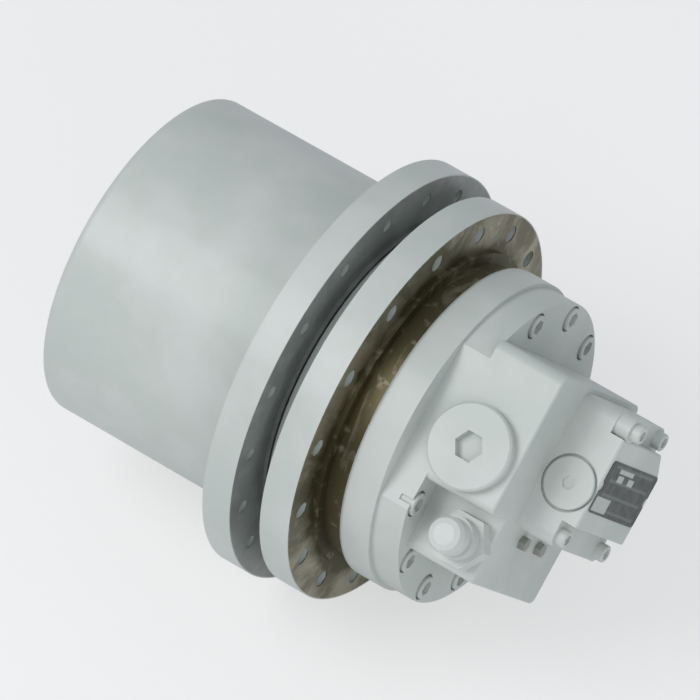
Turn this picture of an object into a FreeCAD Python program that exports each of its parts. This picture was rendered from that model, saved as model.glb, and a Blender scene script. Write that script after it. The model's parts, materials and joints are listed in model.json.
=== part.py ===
import FreeCAD, Part
import math
import os
import Sketcher
from FreeCAD import Placement, Rotation, Vector

# Excavator final drive: a two-stage planetary gearbox in a rotating drum, with an axial piston
# motor in the fixed spindle. Millimetres and degrees.
# X runs along the drive's axis, from the drum towards the motor, Z is up, and the origin is the
# centre of the machined face that bolts against the track frame.

doc = FreeCAD.newDocument("FinalDrive")
dim = doc.addObject("Spreadsheet::Sheet", "dim")

sizes = {
    # clearances
    "RunningFit": 0.08,
    "MeshGap": 0.25,
    "PartGap": 0.3,
    "CloseFit": 0.05,
    # spindle and motor casing
    "FrameFlangeDiameter": 421,
    "FrameFlangeThickness": 33,
    "FramePilotDiameter": 340,
    "FramePilotLength": 6,
    "FrameBoltInset": 20.5,
    "FrameBoltCount": 16,
    "FrameBoltHole": 17.5,
    "FrameBoltTurn": 12.5,
    "NeckDiameter": 318,
    "NeckLength": 27,
    "CasingDiameter": 334,
    "CasingLength": 64,
    "CasingRound": 6,
    "MotorBore": 250,
    "MotorBoreDepth": 84,
    "SwashBore": 190,
    "SwashBoreDepth": 65,
    "SealShoulderWall": 12,
    "SealShoulderLength": 22,
    "JournalShoulder": 8,
    "SpindleEndLength": 28,
    "CouplingBore": 60,
    "SealStepDepth": 4,
    "SealStepWidth": 4,
    "TapRunOut": 3,
    # drum and sprocket flange
    "HubGap": 3,
    "HubRise": 4,
    "HubWall": 10,
    "SprocketFlangeDiameter": 440,
    "SprocketFlangeThickness": 32,
    "SprocketBoltInset": 22,
    "SprocketBoltCount": 18,
    "SprocketBoltDrill": 14,
    "SprocketBoltTurn": -1,
    "DrumDiameter": 343,
    "DrumLength": 231.5,
    "DrumRound": 8,
    "RingSeatDiameter": 295,
    "CoverSeatDiameter": 326,
    "CoverSeatDepth": 20,
    # main bearings and face seal
    "BearingDiameter": 284,
    "BearingHeight": 24,
    "BearingWidth": 30,
    "BearingSection": 8,
    "BearingTaper": 3,
    "BearingRib": 14,
    "BearingRibHeight": 6,
    "NutWall": 15,
    "NutThickness": 16,
    "SealRubberRoom": 11,
    "SealGrooveDepth": 14,
    "SealRingWall": 16,
    "SealRingDiameter": 290,
    "SealFilm": 0.05,
    # gear train
    "GearModule": 5.5,
    "RingTeeth": 48,
    "SunOneTeeth": 12,
    "PlanetOneTeeth": 18,
    "SunTwoTeeth": 16,
    "PlanetTwoTeeth": 16,
    "PlanetOneCount": 3,
    "PlanetTwoCount": 4,
    "PlanetOneWidth": 36,
    "PlanetTwoWidth": 46,
    "PlanetSideGap": 1,
    "Addendum": 0.9,
    "Dedendum": 1.15,
    "PressureAngle": 20,
    "PlanetOnePin": 32,
    "PlanetTwoPin": 40,
    "BushWall": 5,
    "CarrierThickness": 14,
    "CarrierOneDiameter": 228,
    "CarrierTwoDiameter": 222,
    "CarrierTwoThickness": 10,
    "CarrierTwoBore": 108,
    "StageGap": 4,
    "SunTwoNeck": 76,
    "SunTwoBore": 40,
    "StemDiameter": 34,
    "StemReach": 5,
    "PinDepth": 24,
    "PinStep": 5,
    "PinHeadRise": 7,
    "PinHeadThickness": 4,
    "WindowDiameter": 36,
    # drum cover
    "CoverThickness": 18,
    "CoverSpigotLength": 4,
    "CoverBoltCircle": 309,
    "CoverBoltCount": 12,
    "CoverScrew": 8,
    "CoverScrewHead": 13,
    "CoverScrewHeadHeight": 8,
    "CoverScrewSink": 9,
    "CoverScrewLength": 25,
    "CoverScrewSocket": 6,
    "CoverDish": 4,
    "CoverDishDiameter": 240,
    "OilPlugCircle": 180,
    "OilPlugSpread": 90,
    "OilPlugThread": 24,
    "OilPlugDiameter": 34,
    "OilPlugHeight": 4,
    "OilPlugLength": 20,
    "OilPlugSocket": 12,
    "ThrustPadDiameter": 44,
    # motor
    "ShaftDiameter": 40,
    "ShaftTailDiameter": 34,
    "ShaftTailLength": 28,
    "ShaftBearingDiameter": 88,
    "ShaftBearingWidth": 24,
    "ShaftBearingWall": 8,
    "ShaftSealWidth": 10,
    "SleeveDiameter": 54,
    "SleeveLength": 40,
    "BlockDiameter": 160,
    "BlockLength": 84,
    "ValvePlateThickness": 6,
    "ValvePlateDiameter": 132,
    "PistonCircle": 112,
    "PistonCount": 9,
    "PistonDiameter": 26,
    "PistonDepth": 50,
    "ShoeDiameter": 34,
    "ShoeHeight": 5,
    "RetainerThickness": 4,
    "RetainerDiameter": 150,
    "RetainerBoreGap": 6,
    "SwashThickness": 32,
    "SwashDiameter": 180,
    "SwashBoreHole": 60,
    "BrakeDiscThickness": 3,
    "BrakeDiscCount": 3,
    "BrakeDiscDiameter": 226,
    "BrakePlateBore": 180,
    "BrakePistonLength": 46,
    "BrakePistonBore": 176,
    "DiscSpringBore": 186,
    "DiscSpringDiameter": 246,
    "DiscSpringThickness": 3,
    # port block
    "PortClocking": -54.5,
    "DiscDiameter": 326,
    "DiscThickness": 32,
    "DiscBoltCircle": 294,
    "DiscBoltCount": 10,
    "DiscBoltTurn": 210,
    "DiscBoltSweep": 270,
    "DiscBoltSink": 13,
    "DiscBoltSinkDiameter": 28,
    "DiscBolt": 16,
    "DiscBoltHead": 24,
    "DiscBoltHeadHeight": 16,
    "DiscBoltSocket": 14,
    "DiscBoltLength": 50,
    "BlockBody": 77,
    "FacetDistance": 141,
    "FacetTop": 103,
    "FacetBottom": 47,
    "ShelfDistance": 100,
    "BlockBottom": 115,
    "BlockBack": 80,
    "BlockRound": 7,
    "BlockCornerRound": 12,
    "BlockChamfer": 1.5,
    "SpoolPlace": 124,
    "SpringDiameter": 32,
    "SpringWall": 6,
    "SocketFloor": 3,
    "SpoolDiameter": 36,
    "SpoolGroove": 22,
    "SpoolLength": 138,
    "PlugDiameter": 86,
    "PlugHeight": 12,
    "PlugThread": 60,
    "PlugThreadLength": 24,
    "PlugSocket": 27,
    "PlugBore": 34,
    "BackPlugDiameter": 54,
    "BackPlugThread": 48,
    "PlugBoreDepth": 12,
    "PlugChamfer": 2,
    # valve block
    "ValveFace": 75,
    "ValveBack": 64,
    "ValveTop": 74,
    "ValveBottom": 21,
    "ValveDepth": 57.5,
    "ValveBaseDepth": 41,
    "ValveBaseTop": 97,
    "ValveBaseBottom": 48,
    "ValveBevel": 24,
    "BossRise": 16,
    "BossInset": 46,
    "BossDiameter": 25,
    "BossSide": 61,
    "BossBackSide": 54,
    "BossTop": 85,
    "BossBottom": 36,
    "ValveBolt": 12,
    "ValveBoltHead": 18,
    "ValveBoltHeadHeight": 10,
    "ValveBoltSocket": 10,
    "ValveBoltGrip": 18,
    "SpeedPlace": 202,
    "SpeedHeight": 13,
    "SpeedSpoolDiameter": 22,
    "SpeedSpoolLength": 84,
    "SpeedPlugDiameter": 52,
    "SpeedPlugThread": 36,
    "SpeedPlugThreadLength": 16,
    "SpeedPlugHeight": 1,
    "SpeedPlugSink": 4,
    "SpeedPlugRing": 2.5,
    "SpeedPlugChamfer": 1,
    "SpeedPlugBore": 24,
    "SpeedPlugBoreDepth": 8,
    "SpeedSpringDiameter": 20,
    "SpeedPlugSocket": 12,
    "PlateWidth": 132,
    "PlateHeight": 55,
    "PlateThickness": 0.8,
    "PlateNotch": 5,
    "PlateCentre": 25.5,
    "PlateInset": 5.5,
    # hydraulic ports
    "AdapterPlace": 148,
    "AdapterDrop": 83,
    "AdapterHex": 50,
    "AdapterHexHeight": 20,
    "AdapterNeck": 42,
    "AdapterNeckHeight": 18,
    "AdapterBore": 25,
    "AdapterThread": 33,
    "AdapterThreadLength": 18,
    "CapDiameter": 37,
    "CapHeight": 25,
    "CapSkirt": 16,
    "MainPortDiameter": 30.3,
    "MainPortDepth": 24,
    "DrainPortDiameter": 18.6,
    "DrainPortDepth": 17,
    "PilotPortDiameter": 11.4,
    "PilotPortDepth": 13,
    "MainPortPlace": 134,
    "MainPortDrop": 44,
    "UndersidePlace": 132,
    "DrainPlace": -30,
    "PilotPlace": 30,
    "DrillPoint": 5,
    "ReliefPlace": 118,
    "ReliefDrop": 78,
    "ReliefThread": 27,
    "ReliefThreadLength": 30,
    "ReliefHex": 36,
    "ReliefCollar": 34,
    "ReliefHexHeight": 16,
    "ReliefStem": 24,
    "ReliefLength": 34,
    "CapRound": 8,
    "BleedSide": 33,
    "BleedBackSide": 14,
    "BleedDrop": 61,
    "BleedThread": 8,
    "BleedDepth": 12,
    "BleedHex": 13,
    "BleedHeight": 7,
}
for row, (name, size) in enumerate(sizes.items(), 1):
    dim.set("A%d" % row, name)
    dim.set("B%d" % row, str(size))
    dim.setAlias("B%d" % row, name)
doc.recompute()


def value(expression):
    return float(dim.evalExpression(str(expression)))


def half(name):
    return "dim.%s/2" % name


# Radii that follow from others.
journalRadius = "(dim.BearingDiameter/2 - dim.BearingHeight)"
nutRadius = "(dim.BearingDiameter/2 - dim.BearingHeight + dim.NutWall)"
sealBoreRadius = "(dim.SealRingDiameter/2 - dim.SealRingWall)"
grooveRadius = "(dim.SealRingDiameter/2 + dim.SealRubberRoom)"
hubRadius = "(dim.SealRingDiameter/2 + dim.SealRubberRoom + dim.HubWall)"
shoulderRadius = "(dim.SealRingDiameter/2 + dim.SealRubberRoom + dim.SealShoulderWall)"
frameCircle = "(dim.FrameFlangeDiameter - 2*dim.FrameBoltInset)"
sprocketCircle = "(dim.SprocketFlangeDiameter - 2*dim.SprocketBoltInset)"

# Stations along the axis, as expressions on the sheet.
flangeBack = "-dim.FrameFlangeThickness"
shoulderEnd = flangeBack + " - dim.SealShoulderLength"
hubEnd = shoulderEnd + " - dim.HubGap"
sprocketFront = hubEnd + " - dim.HubRise"
sprocketBack = sprocketFront + " - dim.SprocketFlangeThickness"
drumEnd = sprocketBack + " - dim.DrumLength"
coverSeat = drumEnd + " + dim.CoverSeatDepth"
bearingOne = hubEnd + " - dim.SealGrooveDepth - 4"
ribOne = bearingOne + " - dim.BearingWidth"
ribTwo = ribOne + " - dim.BearingRib"
bearingTwo = ribTwo + " - dim.BearingWidth"
nutEnd = bearingTwo + " - dim.NutThickness"
spindleEnd = bearingTwo + " - dim.SpindleEndLength"
stageTwoStart = spindleEnd + " - dim.PlanetSideGap"
stageTwoEnd = stageTwoStart + " - dim.PlanetTwoWidth"
plateTwoStart = stageTwoEnd + " - dim.PlanetSideGap"
plateTwoEnd = plateTwoStart + " - dim.CarrierTwoThickness"
carrierStart = plateTwoEnd + " - dim.StageGap"
carrierEnd = carrierStart + " - dim.CarrierThickness"
stageOneStart = carrierEnd + " - dim.PlanetSideGap"
stageOneEnd = stageOneStart + " - dim.PlanetOneWidth"
blockEnd = "dim.CasingLength - dim.ValvePlateThickness"
blockStart = blockEnd + " - dim.BlockLength"
motorFloor = "dim.CasingLength - dim.MotorBoreDepth"
swashFloor = motorFloor + " - dim.SwashBoreDepth"
swashFace = swashFloor + " + dim.SwashThickness"
shaftBearingStart = swashFloor + " - dim.ShaftBearingWidth"
sealStart = shaftBearingStart + " - dim.ShaftSealWidth"
sleeveStart = sealStart + " - 1"
sleeveMiddle = sleeveStart + " - dim.SleeveLength/2"
sleeveEnd = sleeveStart + " - dim.SleeveLength"
discEnd = "dim.CasingLength + dim.DiscThickness"
portEnd = discEnd + " + dim.BlockBody"
valveBaseEnd = portEnd + " + dim.ValveBaseDepth"
valveEnd = portEnd + " + dim.ValveDepth"


# ---------- drawing helpers ----------

def newBody(label):
    body = doc.addObject("PartDesign::Body", label)
    body.Label = label
    body.AllowCompound = True
    return body


def originFeature(body, role):
    return [feature for feature in body.Origin.OriginFeatures if feature.Role == role][0]


def newSketch(body, name, role="XY_Plane", offset=None):
    sketch = body.newObject("Sketcher::SketchObject", body.Name + name)
    sketch.AttachmentSupport = (originFeature(body, role), [""])
    sketch.MapMode = "FlatFace"
    if offset is not None:
        sketch.setExpression(".AttachmentOffset.Base.z", offset)
    return sketch


def bind(sketch, kind, *parts):
    # the last part is the expression that holds the size
    number = sketch.addConstraint(Sketcher.Constraint(kind, *parts[:-1], value(parts[-1])))
    sketch.setExpression("Constraints[%d]" % number, parts[-1])


def drawOutline(sketch, corners):
    first = sketch.GeometryCount
    places = [Vector(value(u), value(v), 0) for u, v in corners]
    count = len(places)
    for index in range(count):
        sketch.addGeometry(Part.LineSegment(places[index], places[(index + 1) % count]))
    for index in range(count):
        after = first + (index + 1) % count
        sketch.addConstraint(Sketcher.Constraint("Coincident", first + index, 2, after, 1))
    for index, (u, v) in enumerate(corners):
        bind(sketch, "DistanceX", -1, 1, first + index, 1, u)
        bind(sketch, "DistanceY", -1, 1, first + index, 1, v)


def drawCircle(sketch, u, v, radius):
    circle = Part.Circle(Vector(value(u), value(v), 0), Vector(0, 0, 1), value(radius))
    index = sketch.addGeometry(circle)
    bind(sketch, "DistanceX", -1, 1, index, 3, u)
    bind(sketch, "DistanceY", -1, 1, index, 3, v)
    bind(sketch, "Radius", index, radius)


def drawHexagon(sketch, u, v, across, turn=0):
    corners = []
    for step in range(6):
        reach = "%s/2/cos(30)" % across
        corners.append((
            "%s + %s*cos(%g)" % (u, reach, turn + 60 * step),
            "%s + %s*sin(%g)" % (v, reach, turn + 60 * step),
        ))
    drawOutline(sketch, corners)


def turnProfile(body, name, outlines, kind="Revolution"):
    # outlines of (x, radius) corners, turned about the drive's axis
    sketch = newSketch(body, name)
    for corners in outlines:
        drawOutline(sketch, corners)
    feature = body.newObject("PartDesign::" + kind, body.Name + name + kind)
    feature.Profile = sketch
    feature.ReferenceAxis = (originFeature(body, "X_Axis"), [""])
    feature.Angle = 360
    return feature


def turned(label, *outlines):
    body = newBody(label)
    turnProfile(body, "Profile", outlines)
    return body


def turnBeside(body, name, corners, place, upright=False, height=None, kind="Revolution"):
    # (along, radius) corners turned about a line parallel to X, or to Y if upright, at place
    sketch = newSketch(body, name, "XY_Plane", height)
    if upright:
        drawOutline(sketch, [("%s + %s" % (place, radius), along) for along, radius in corners])
        start, end = Vector(value(place), 0, 0), Vector(value(place), 10, 0)
        across, level, direction = "DistanceX", "DistanceY", "Vertical"
    else:
        drawOutline(sketch, [(along, "%s + %s" % (place, radius)) for along, radius in corners])
        start, end = Vector(0, value(place), 0), Vector(10, value(place), 0)
        across, level, direction = "DistanceY", "DistanceX", "Horizontal"
    centre = sketch.addGeometry(Part.LineSegment(start, end), True)
    bind(sketch, across, -1, 1, centre, 1, place)
    sketch.addConstraint(Sketcher.Constraint(direction, centre))
    sketch.addConstraint(Sketcher.Constraint(level, -1, 1, centre, 1, 0))
    sketch.addConstraint(Sketcher.Constraint(level, centre, 1, centre, 2, 10))
    feature = body.newObject("PartDesign::" + kind, body.Name + name + kind)
    feature.Profile = sketch
    feature.ReferenceAxis = (sketch, ["Axis0"])
    feature.Angle = 360
    return feature


def pad(body, sketch, name, length, back=False):
    feature = body.newObject("PartDesign::Pad", body.Name + name)
    feature.Profile = sketch
    feature.setExpression("Length", length)
    feature.Reversed = back
    return feature


def pocket(body, sketch, name, length, back=False):
    # a pocket cuts against its sketch's normal; back turns it round
    feature = body.newObject("PartDesign::Pocket", body.Name + name)
    feature.Profile = sketch
    feature.setExpression("Length", length)
    feature.Reversed = back
    return feature


def polar(body, originals, name, count, sweep="360"):
    feature = body.newObject("PartDesign::PolarPattern", body.Name + name)
    feature.Originals = originals
    feature.Axis = (originFeature(body, "X_Axis"), [""])
    feature.setExpression("Angle", sweep)
    feature.setExpression("Occurrences", count)
    body.Tip = feature
    return feature


def turnBody(body, angle):
    body.setExpression("Placement", "placement(vector(0; 0; 0); rotation(vector(1; 0; 0); %s))" % angle)


def edgesWhere(shape, test):
    return ["Edge%d" % number for number, edge in enumerate(shape.Edges, 1) if test(edge)]


def dress(body, kind, name, base, edges, size):
    feature = body.newObject("PartDesign::" + kind, body.Name + name)
    feature.Base = (base, edges)
    feature.setExpression("Size" if kind == "Chamfer" else "Radius", size)
    return feature


def solidPart(label, shape, placement=None):
    feature = doc.addObject("Part::Feature", label)
    feature.Label = label
    feature.Shape = shape
    if placement is not None:
        feature.Placement = placement
    return feature


def onCircle(circle, angle):
    return "%s/2*cos(%s)" % (circle, angle), "%s/2*sin(%s)" % (circle, angle)


def isRingAt(edge, x, radius):
    curve = edge.Curve
    if curve.TypeId != "Part::GeomCircle":
        return False
    return abs(curve.Center.x - x) < 0.01 and abs(curve.Radius - radius) < 0.01


# ---------- spindle and motor casing ----------

def makeSpindle():
    body = newBody("spindle_casing")
    journal = journalRadius
    shoulder = journal + " + dim.JournalShoulder"
    end = journal + " - 4"
    outline = [
        ("dim.CasingLength - dim.SealStepDepth", half("MotorBore")),
        ("dim.CasingLength - dim.SealStepDepth", "dim.MotorBore/2 + dim.SealStepWidth"),
        ("dim.CasingLength", "dim.MotorBore/2 + dim.SealStepWidth"),
        ("dim.CasingLength", half("CasingDiameter")),
        ("dim.NeckLength", half("CasingDiameter")),
        ("dim.NeckLength", half("NeckDiameter")),
        ("dim.FramePilotLength", half("NeckDiameter")),
        ("dim.FramePilotLength", half("FramePilotDiameter")),
        ("0", half("FramePilotDiameter")),
        ("0", half("FrameFlangeDiameter")),
        (flangeBack, half("FrameFlangeDiameter")),
        (flangeBack, shoulderRadius),
        (shoulderEnd, shoulderRadius),
        (shoulderEnd, grooveRadius),
        (shoulderEnd + " + dim.SealGrooveDepth", grooveRadius),
        (shoulderEnd + " + dim.SealGrooveDepth", shoulder),
        (bearingOne, shoulder),
        (bearingOne, journal),
        (nutEnd, journal),
        (nutEnd, end),
        (spindleEnd, end),
        (spindleEnd, half("CouplingBore")),
        (sealStart, half("CouplingBore")),
        (sealStart, "dim.ShaftBearingDiameter/2 - 4"),
        (shaftBearingStart, "dim.ShaftBearingDiameter/2 - 4"),
        (shaftBearingStart, half("ShaftBearingDiameter")),
        (swashFloor, half("ShaftBearingDiameter")),
        (swashFloor, half("SwashBore")),
        (motorFloor, half("SwashBore")),
        (motorFloor, half("MotorBore")),
    ]
    casting = turnProfile(body, "Casting", [outline])
    doc.recompute()
    rounds = edgesWhere(casting.Shape, lambda edge: isRingAt(edge, value("dim.NeckLength"), value(half("CasingDiameter"))))
    dress(body, "Fillet", "CasingEdge", casting, rounds, "dim.CasingRound")
    holes = newSketch(body, "FrameHole", "YZ_Plane")
    y, z = onCircle(frameCircle, "dim.FrameBoltTurn")
    drawCircle(holes, y, z, half("FrameBoltHole"))
    hole = pocket(body, holes, "FrameDrill", "dim.FrameFlangeThickness")
    polar(body, [hole], "FrameDrills", "dim.FrameBoltCount")
    taps = newSketch(body, "BlockTap", "YZ_Plane", "dim.CasingLength")
    y, z = onCircle("dim.DiscBoltCircle", "(dim.DiscBoltTurn + dim.PortClocking)")
    drawCircle(taps, y, z, "dim.DiscBolt/2 + dim.CloseFit")
    tap = pocket(body, taps, "BlockTap1", "dim.DiscBoltLength + dim.TapRunOut + dim.DiscBoltSink - dim.DiscThickness")
    polar(body, [tap], "BlockTaps", "dim.DiscBoltCount", "dim.DiscBoltSweep")
    pins = newSketch(body, "PinHole", "YZ_Plane", spindleEnd)
    drawCircle(pins, planetReach("PlanetTwoTeeth", "SunTwoTeeth"), "0", "dim.PlanetTwoPin/2 - dim.PinStep + dim.CloseFit")
    pin = pocket(body, pins, "PinHole1", "dim.PinDepth", back=True)
    polar(body, [pin], "PinHoles", "dim.PlanetTwoCount")
    return body


def nutProfile():
    return [
        (bearingTwo, journalRadius + " + dim.CloseFit"),
        (bearingTwo, nutRadius),
        (nutEnd, nutRadius),
        (nutEnd, journalRadius + " + dim.CloseFit"),
    ]


def makeBearingNut():
    body = newBody("bearing_nut")
    ring = turnProfile(body, "Ring", [nutProfile()])
    slots = newSketch(body, "Slot", "YZ_Plane", bearingTwo)
    drawOutline(slots, [
        (nutRadius + " - 5", "-6"),
        (nutRadius + " + 1", "-6"),
        (nutRadius + " + 1", "6"),
        (nutRadius + " - 5", "6"),
    ])
    slot = pocket(body, slots, "SpannerSlot", "dim.NutThickness")
    polar(body, [slot], "SpannerSlots", "4")
    return ring


def coneProfile(start, inner, outer, taper):
    # a bearing ring whose race leans: thick at start, thin at the far side
    end = start + " - dim.BearingWidth"
    return [(start, inner), (start, outer), (end, outer + taper), (end, inner)]


def makeMainBearings():
    bore = journalRadius
    coneWall = bore + " + dim.BearingSection"
    turned(
        "main_bearing_cones",
        coneProfile(bearingOne, bore, coneWall, " - dim.BearingTaper"),
        coneProfile(ribTwo, bore, coneWall + " - dim.BearingTaper", " + dim.BearingTaper"),
    )
    outside = half("BearingDiameter")
    cupWall = outside + " - dim.BearingSection"
    turned(
        "main_bearing_cups",
        coneProfile(bearingOne, outside, cupWall + " + dim.BearingTaper", " - dim.BearingTaper"),
        coneProfile(ribTwo, outside, cupWall, " + dim.BearingTaper"),
    )
    turned("bearing_spacer", [
        (ribOne, bore),
        (ribOne, bore + " + dim.BearingTaper"),
        (ribTwo, bore + " + dim.BearingTaper"),
        (ribTwo, bore),
    ])


def makeFaceSeal():
    # two lapped metal rings meet in the middle of the hub gap, each carried by a rubber ring
    for side, label in ((1, "frame"), (-1, "drum")):
        face = "%s - dim.HubGap/2 + %d*dim.SealFilm/2" % (shoulderEnd, side)
        mouth = shoulderEnd if side == 1 else hubEnd
        ringBack = "%s + %d*8" % (face, side)
        turned(label + "_seal_ring", [
            (face, sealBoreRadius),
            (face, half("SealRingDiameter")),
            (ringBack, half("SealRingDiameter")),
            (ringBack, sealBoreRadius),
        ])
        turned(label + "_seal_rubber", [
            ("%s + %d*3" % (mouth, side), half("SealRingDiameter")),
            ("%s + %d*3" % (mouth, side), grooveRadius + " - 3"),
            ("%s + %d*5" % (mouth, side), grooveRadius),
            ("%s + %d*11" % (mouth, side), grooveRadius),
            ("%s + %d*12" % (mouth, side), half("SealRingDiameter") + " + 3"),
            ("%s + %d*9" % (mouth, side), half("SealRingDiameter")),
        ])


# ---------- drum ----------

def makeDrum():
    body = newBody("drum_housing")
    bearing = half("BearingDiameter")
    rib = bearing + " - dim.BearingRibHeight"
    seat = stageTwoStart + " + dim.StageGap"
    outline = [
        (hubEnd, grooveRadius),
        (hubEnd, hubRadius),
        (sprocketFront, hubRadius),
        (sprocketFront, half("SprocketFlangeDiameter")),
        (sprocketBack, half("SprocketFlangeDiameter")),
        (sprocketBack, half("DrumDiameter")),
        (drumEnd, half("DrumDiameter")),
        (drumEnd, half("CoverSeatDiameter")),
        (coverSeat, half("CoverSeatDiameter")),
        (coverSeat, half("RingSeatDiameter")),
        (seat, half("RingSeatDiameter")),
        (seat, bearing),
        (ribTwo, bearing),
        (ribTwo, rib),
        (ribOne, rib),
        (ribOne, bearing),
        (hubEnd + " - dim.SealGrooveDepth", bearing),
        (hubEnd + " - dim.SealGrooveDepth", grooveRadius),
    ]
    casting = turnProfile(body, "Casting", [outline])
    doc.recompute()
    rims = edgesWhere(casting.Shape, lambda edge: isRingAt(edge, value(drumEnd), value(half("DrumDiameter"))))
    dress(body, "Fillet", "EndEdge", casting, rims, "dim.DrumRound")
    holes = newSketch(body, "SprocketHole", "YZ_Plane", sprocketFront)
    y, z = onCircle(sprocketCircle, "dim.SprocketBoltTurn")
    drawCircle(holes, y, z, half("SprocketBoltDrill"))
    hole = pocket(body, holes, "SprocketTap", "dim.SprocketFlangeThickness")
    polar(body, [hole], "SprocketTaps", "dim.SprocketBoltCount")
    covers = newSketch(body, "CoverHole", "YZ_Plane", coverSeat)
    drawCircle(covers, half("CoverBoltCircle"), "0", "dim.CoverScrew/2 + dim.CloseFit")
    tap = pocket(body, covers, "CoverTap", "dim.CoverScrewLength - dim.CoverThickness + dim.CoverScrewSink + dim.TapRunOut", back=True)
    polar(body, [tap], "CoverTaps", "dim.CoverBoltCount")
    return body


def makeDrumCover():
    body = newBody("drum_cover")
    outside = drumEnd + " + dim.CoverSeatDepth - dim.CoverThickness"
    inside = coverSeat + " + dim.CoverSpigotLength"
    spigot = half("RingSeatDiameter") + " - dim.CloseFit"
    disc = turnProfile(body, "Disc", [[
        (outside + " + dim.CoverDish", "0"),
        (outside + " + dim.CoverDish", half("CoverDishDiameter") + " - dim.CoverDish"),
        (outside, half("CoverDishDiameter")),
        (outside, half("CoverSeatDiameter") + " - dim.PartGap"),
        (coverSeat, half("CoverSeatDiameter") + " - dim.PartGap"),
        (coverSeat, spigot),
        (inside, spigot),
        (inside, "0"),
    ]])
    screws = newSketch(body, "ScrewHole", "YZ_Plane", coverSeat)
    drawCircle(screws, half("CoverBoltCircle"), "0", "dim.CoverScrew/2 + dim.PartGap")
    hole = pocket(body, screws, "ScrewHoles", "dim.CoverThickness")
    sinks = newSketch(body, "ScrewSink", "YZ_Plane", outside)
    drawCircle(sinks, half("CoverBoltCircle"), "0", "dim.CoverScrewHead/2 + dim.PartGap")
    sink = pocket(body, sinks, "ScrewSinks", "dim.CoverScrewSink", back=True)
    polar(body, [hole, sink], "Screws", "dim.CoverBoltCount")
    oil = newSketch(body, "OilHole", "YZ_Plane", inside)
    drawCircle(oil, half("OilPlugCircle"), "0", "dim.OilPlugThread/2 + dim.CloseFit")
    hole = pocket(body, oil, "OilHole1", "dim.CoverThickness + dim.CoverSpigotLength")
    polar(body, [hole], "OilHoles", "2", "dim.OilPlugSpread")
    return disc


def socketScrew(body, name, head, place, size, upright=False, height=None):
    # a cap screw that lies along X from under its head at x, with a hexagon socket in the head
    # size: diameter, head diameter, head height, length under the head, socket, direction of the head
    thread, cap, tall, length, socket, toward = size
    top = "%s + %d*%s" % (head, toward, tall)
    shank = turnBeside(body, name, [
        ("%s - %d*%s" % (head, toward, length), "0"),
        ("%s - %d*%s" % (head, toward, length), "%s/2" % thread),
        (head, "%s/2" % thread),
        (head, "%s/2" % cap),
        (top + " - %d" % toward, "%s/2" % cap),
        (top, "%s/2 - 1" % cap),
        (top, "0"),
    ], place)
    sketch = newSketch(body, name + "Socket", "YZ_Plane", top)
    drawHexagon(sketch, place, "0", socket)
    return [shank, pocket(body, sketch, name + "SocketCut", tall + "/2", back=toward < 0)]


def makeDrumCoverBolts():
    body = newBody("drum_cover_bolts")
    seat = drumEnd + " + dim.CoverSeatDepth - dim.CoverThickness + dim.CoverScrewSink"
    size = ("dim.CoverScrew", "dim.CoverScrewHead", "dim.CoverScrewHeadHeight",
            "dim.CoverScrewLength", "dim.CoverScrewSocket", -1)
    screw = socketScrew(body, "Screw", seat, half("CoverBoltCircle"), size)
    polar(body, screw, "Ring", "dim.CoverBoltCount")


def makeOilPlugs():
    body = newBody("drum_oil_plugs")
    outside = drumEnd + " + dim.CoverSeatDepth - dim.CoverThickness + dim.CoverDish"
    size = ("dim.OilPlugThread", "dim.OilPlugDiameter", "dim.OilPlugHeight",
            "dim.OilPlugLength", "dim.OilPlugSocket", -1)
    plug = socketScrew(body, "Plug", outside, half("OilPlugCircle"), size)
    polar(body, plug, "Pair", "2", "dim.OilPlugSpread")


def makeThrustPad():
    end = stageOneEnd + " - dim.StemReach - dim.PartGap"
    turned("thrust_pad", [
        (end, "0"),
        (end, half("ThrustPadDiameter") + " - 4"),
        (end + " - 2", half("ThrustPadDiameter")),
        (coverSeat + " + dim.CoverSpigotLength", half("ThrustPadDiameter")),
        (coverSeat + " + dim.CoverSpigotLength", "0"),
    ])


# ---------- gear train ----------

def involute(angle):
    return math.tan(angle) - angle


def gearOutline(teeth, thickness, root, tip):
    # true involute flanks, each one arc through three points of the curve; a tooth lies on +Y
    module = value("dim.GearModule")
    pressure = math.radians(value("dim.PressureAngle"))
    pitch = teeth * module / 2
    base = pitch * math.cos(pressure)
    foot = max(root, base)

    def halfAngle(radius):
        return thickness / 2 / pitch + involute(pressure) - involute(math.acos(min(1, base / radius)))

    def at(radius, angle):
        return Vector(0, radius * math.cos(angle), radius * math.sin(angle))

    edges = []
    step = 2 * math.pi / teeth
    middle = (foot + tip) / 2
    for tooth in range(teeth):
        centre = tooth * step
        rise = [at(radius, centre - halfAngle(radius)) for radius in (foot, middle, tip)]
        fall = [at(radius, centre + halfAngle(radius)) for radius in (tip, middle, foot)]
        if root < base:
            edges.append(Part.LineSegment(at(root, centre - halfAngle(base)), rise[0]).toShape())
        edges.append(Part.Arc(*rise).toShape())
        edges.append(Part.Arc(rise[2], at(tip, centre), fall[0]).toShape())
        edges.append(Part.Arc(*fall).toShape())
        if root < base:
            edges.append(Part.LineSegment(fall[2], at(root, centre + halfAngle(base))).toShape())
        gap = centre + halfAngle(foot), centre + step - halfAngle(foot)
        edges.append(Part.Arc(at(root, gap[0]), at(root, sum(gap) / 2), at(root, gap[1])).toShape())
    return Part.Wire(edges)


def gearSolid(teeth, start, width):
    # an external gear from x = start towards -X
    module = value("dim.GearModule")
    pitch = teeth * module / 2
    thickness = math.pi * module / 2 - value("dim.MeshGap")
    outline = gearOutline(
        teeth, thickness,
        pitch - value("dim.Dedendum") * module,
        pitch + value("dim.Addendum") * module,
    )
    outline.translate(Vector(start - width, 0, 0))
    return Part.Face(outline).extrude(Vector(width, 0, 0))


def rod(radius, start, end, y=0, z=0):
    return Part.makeCylinder(radius, end - start, Vector(start, y, z), Vector(1, 0, 0))


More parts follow.
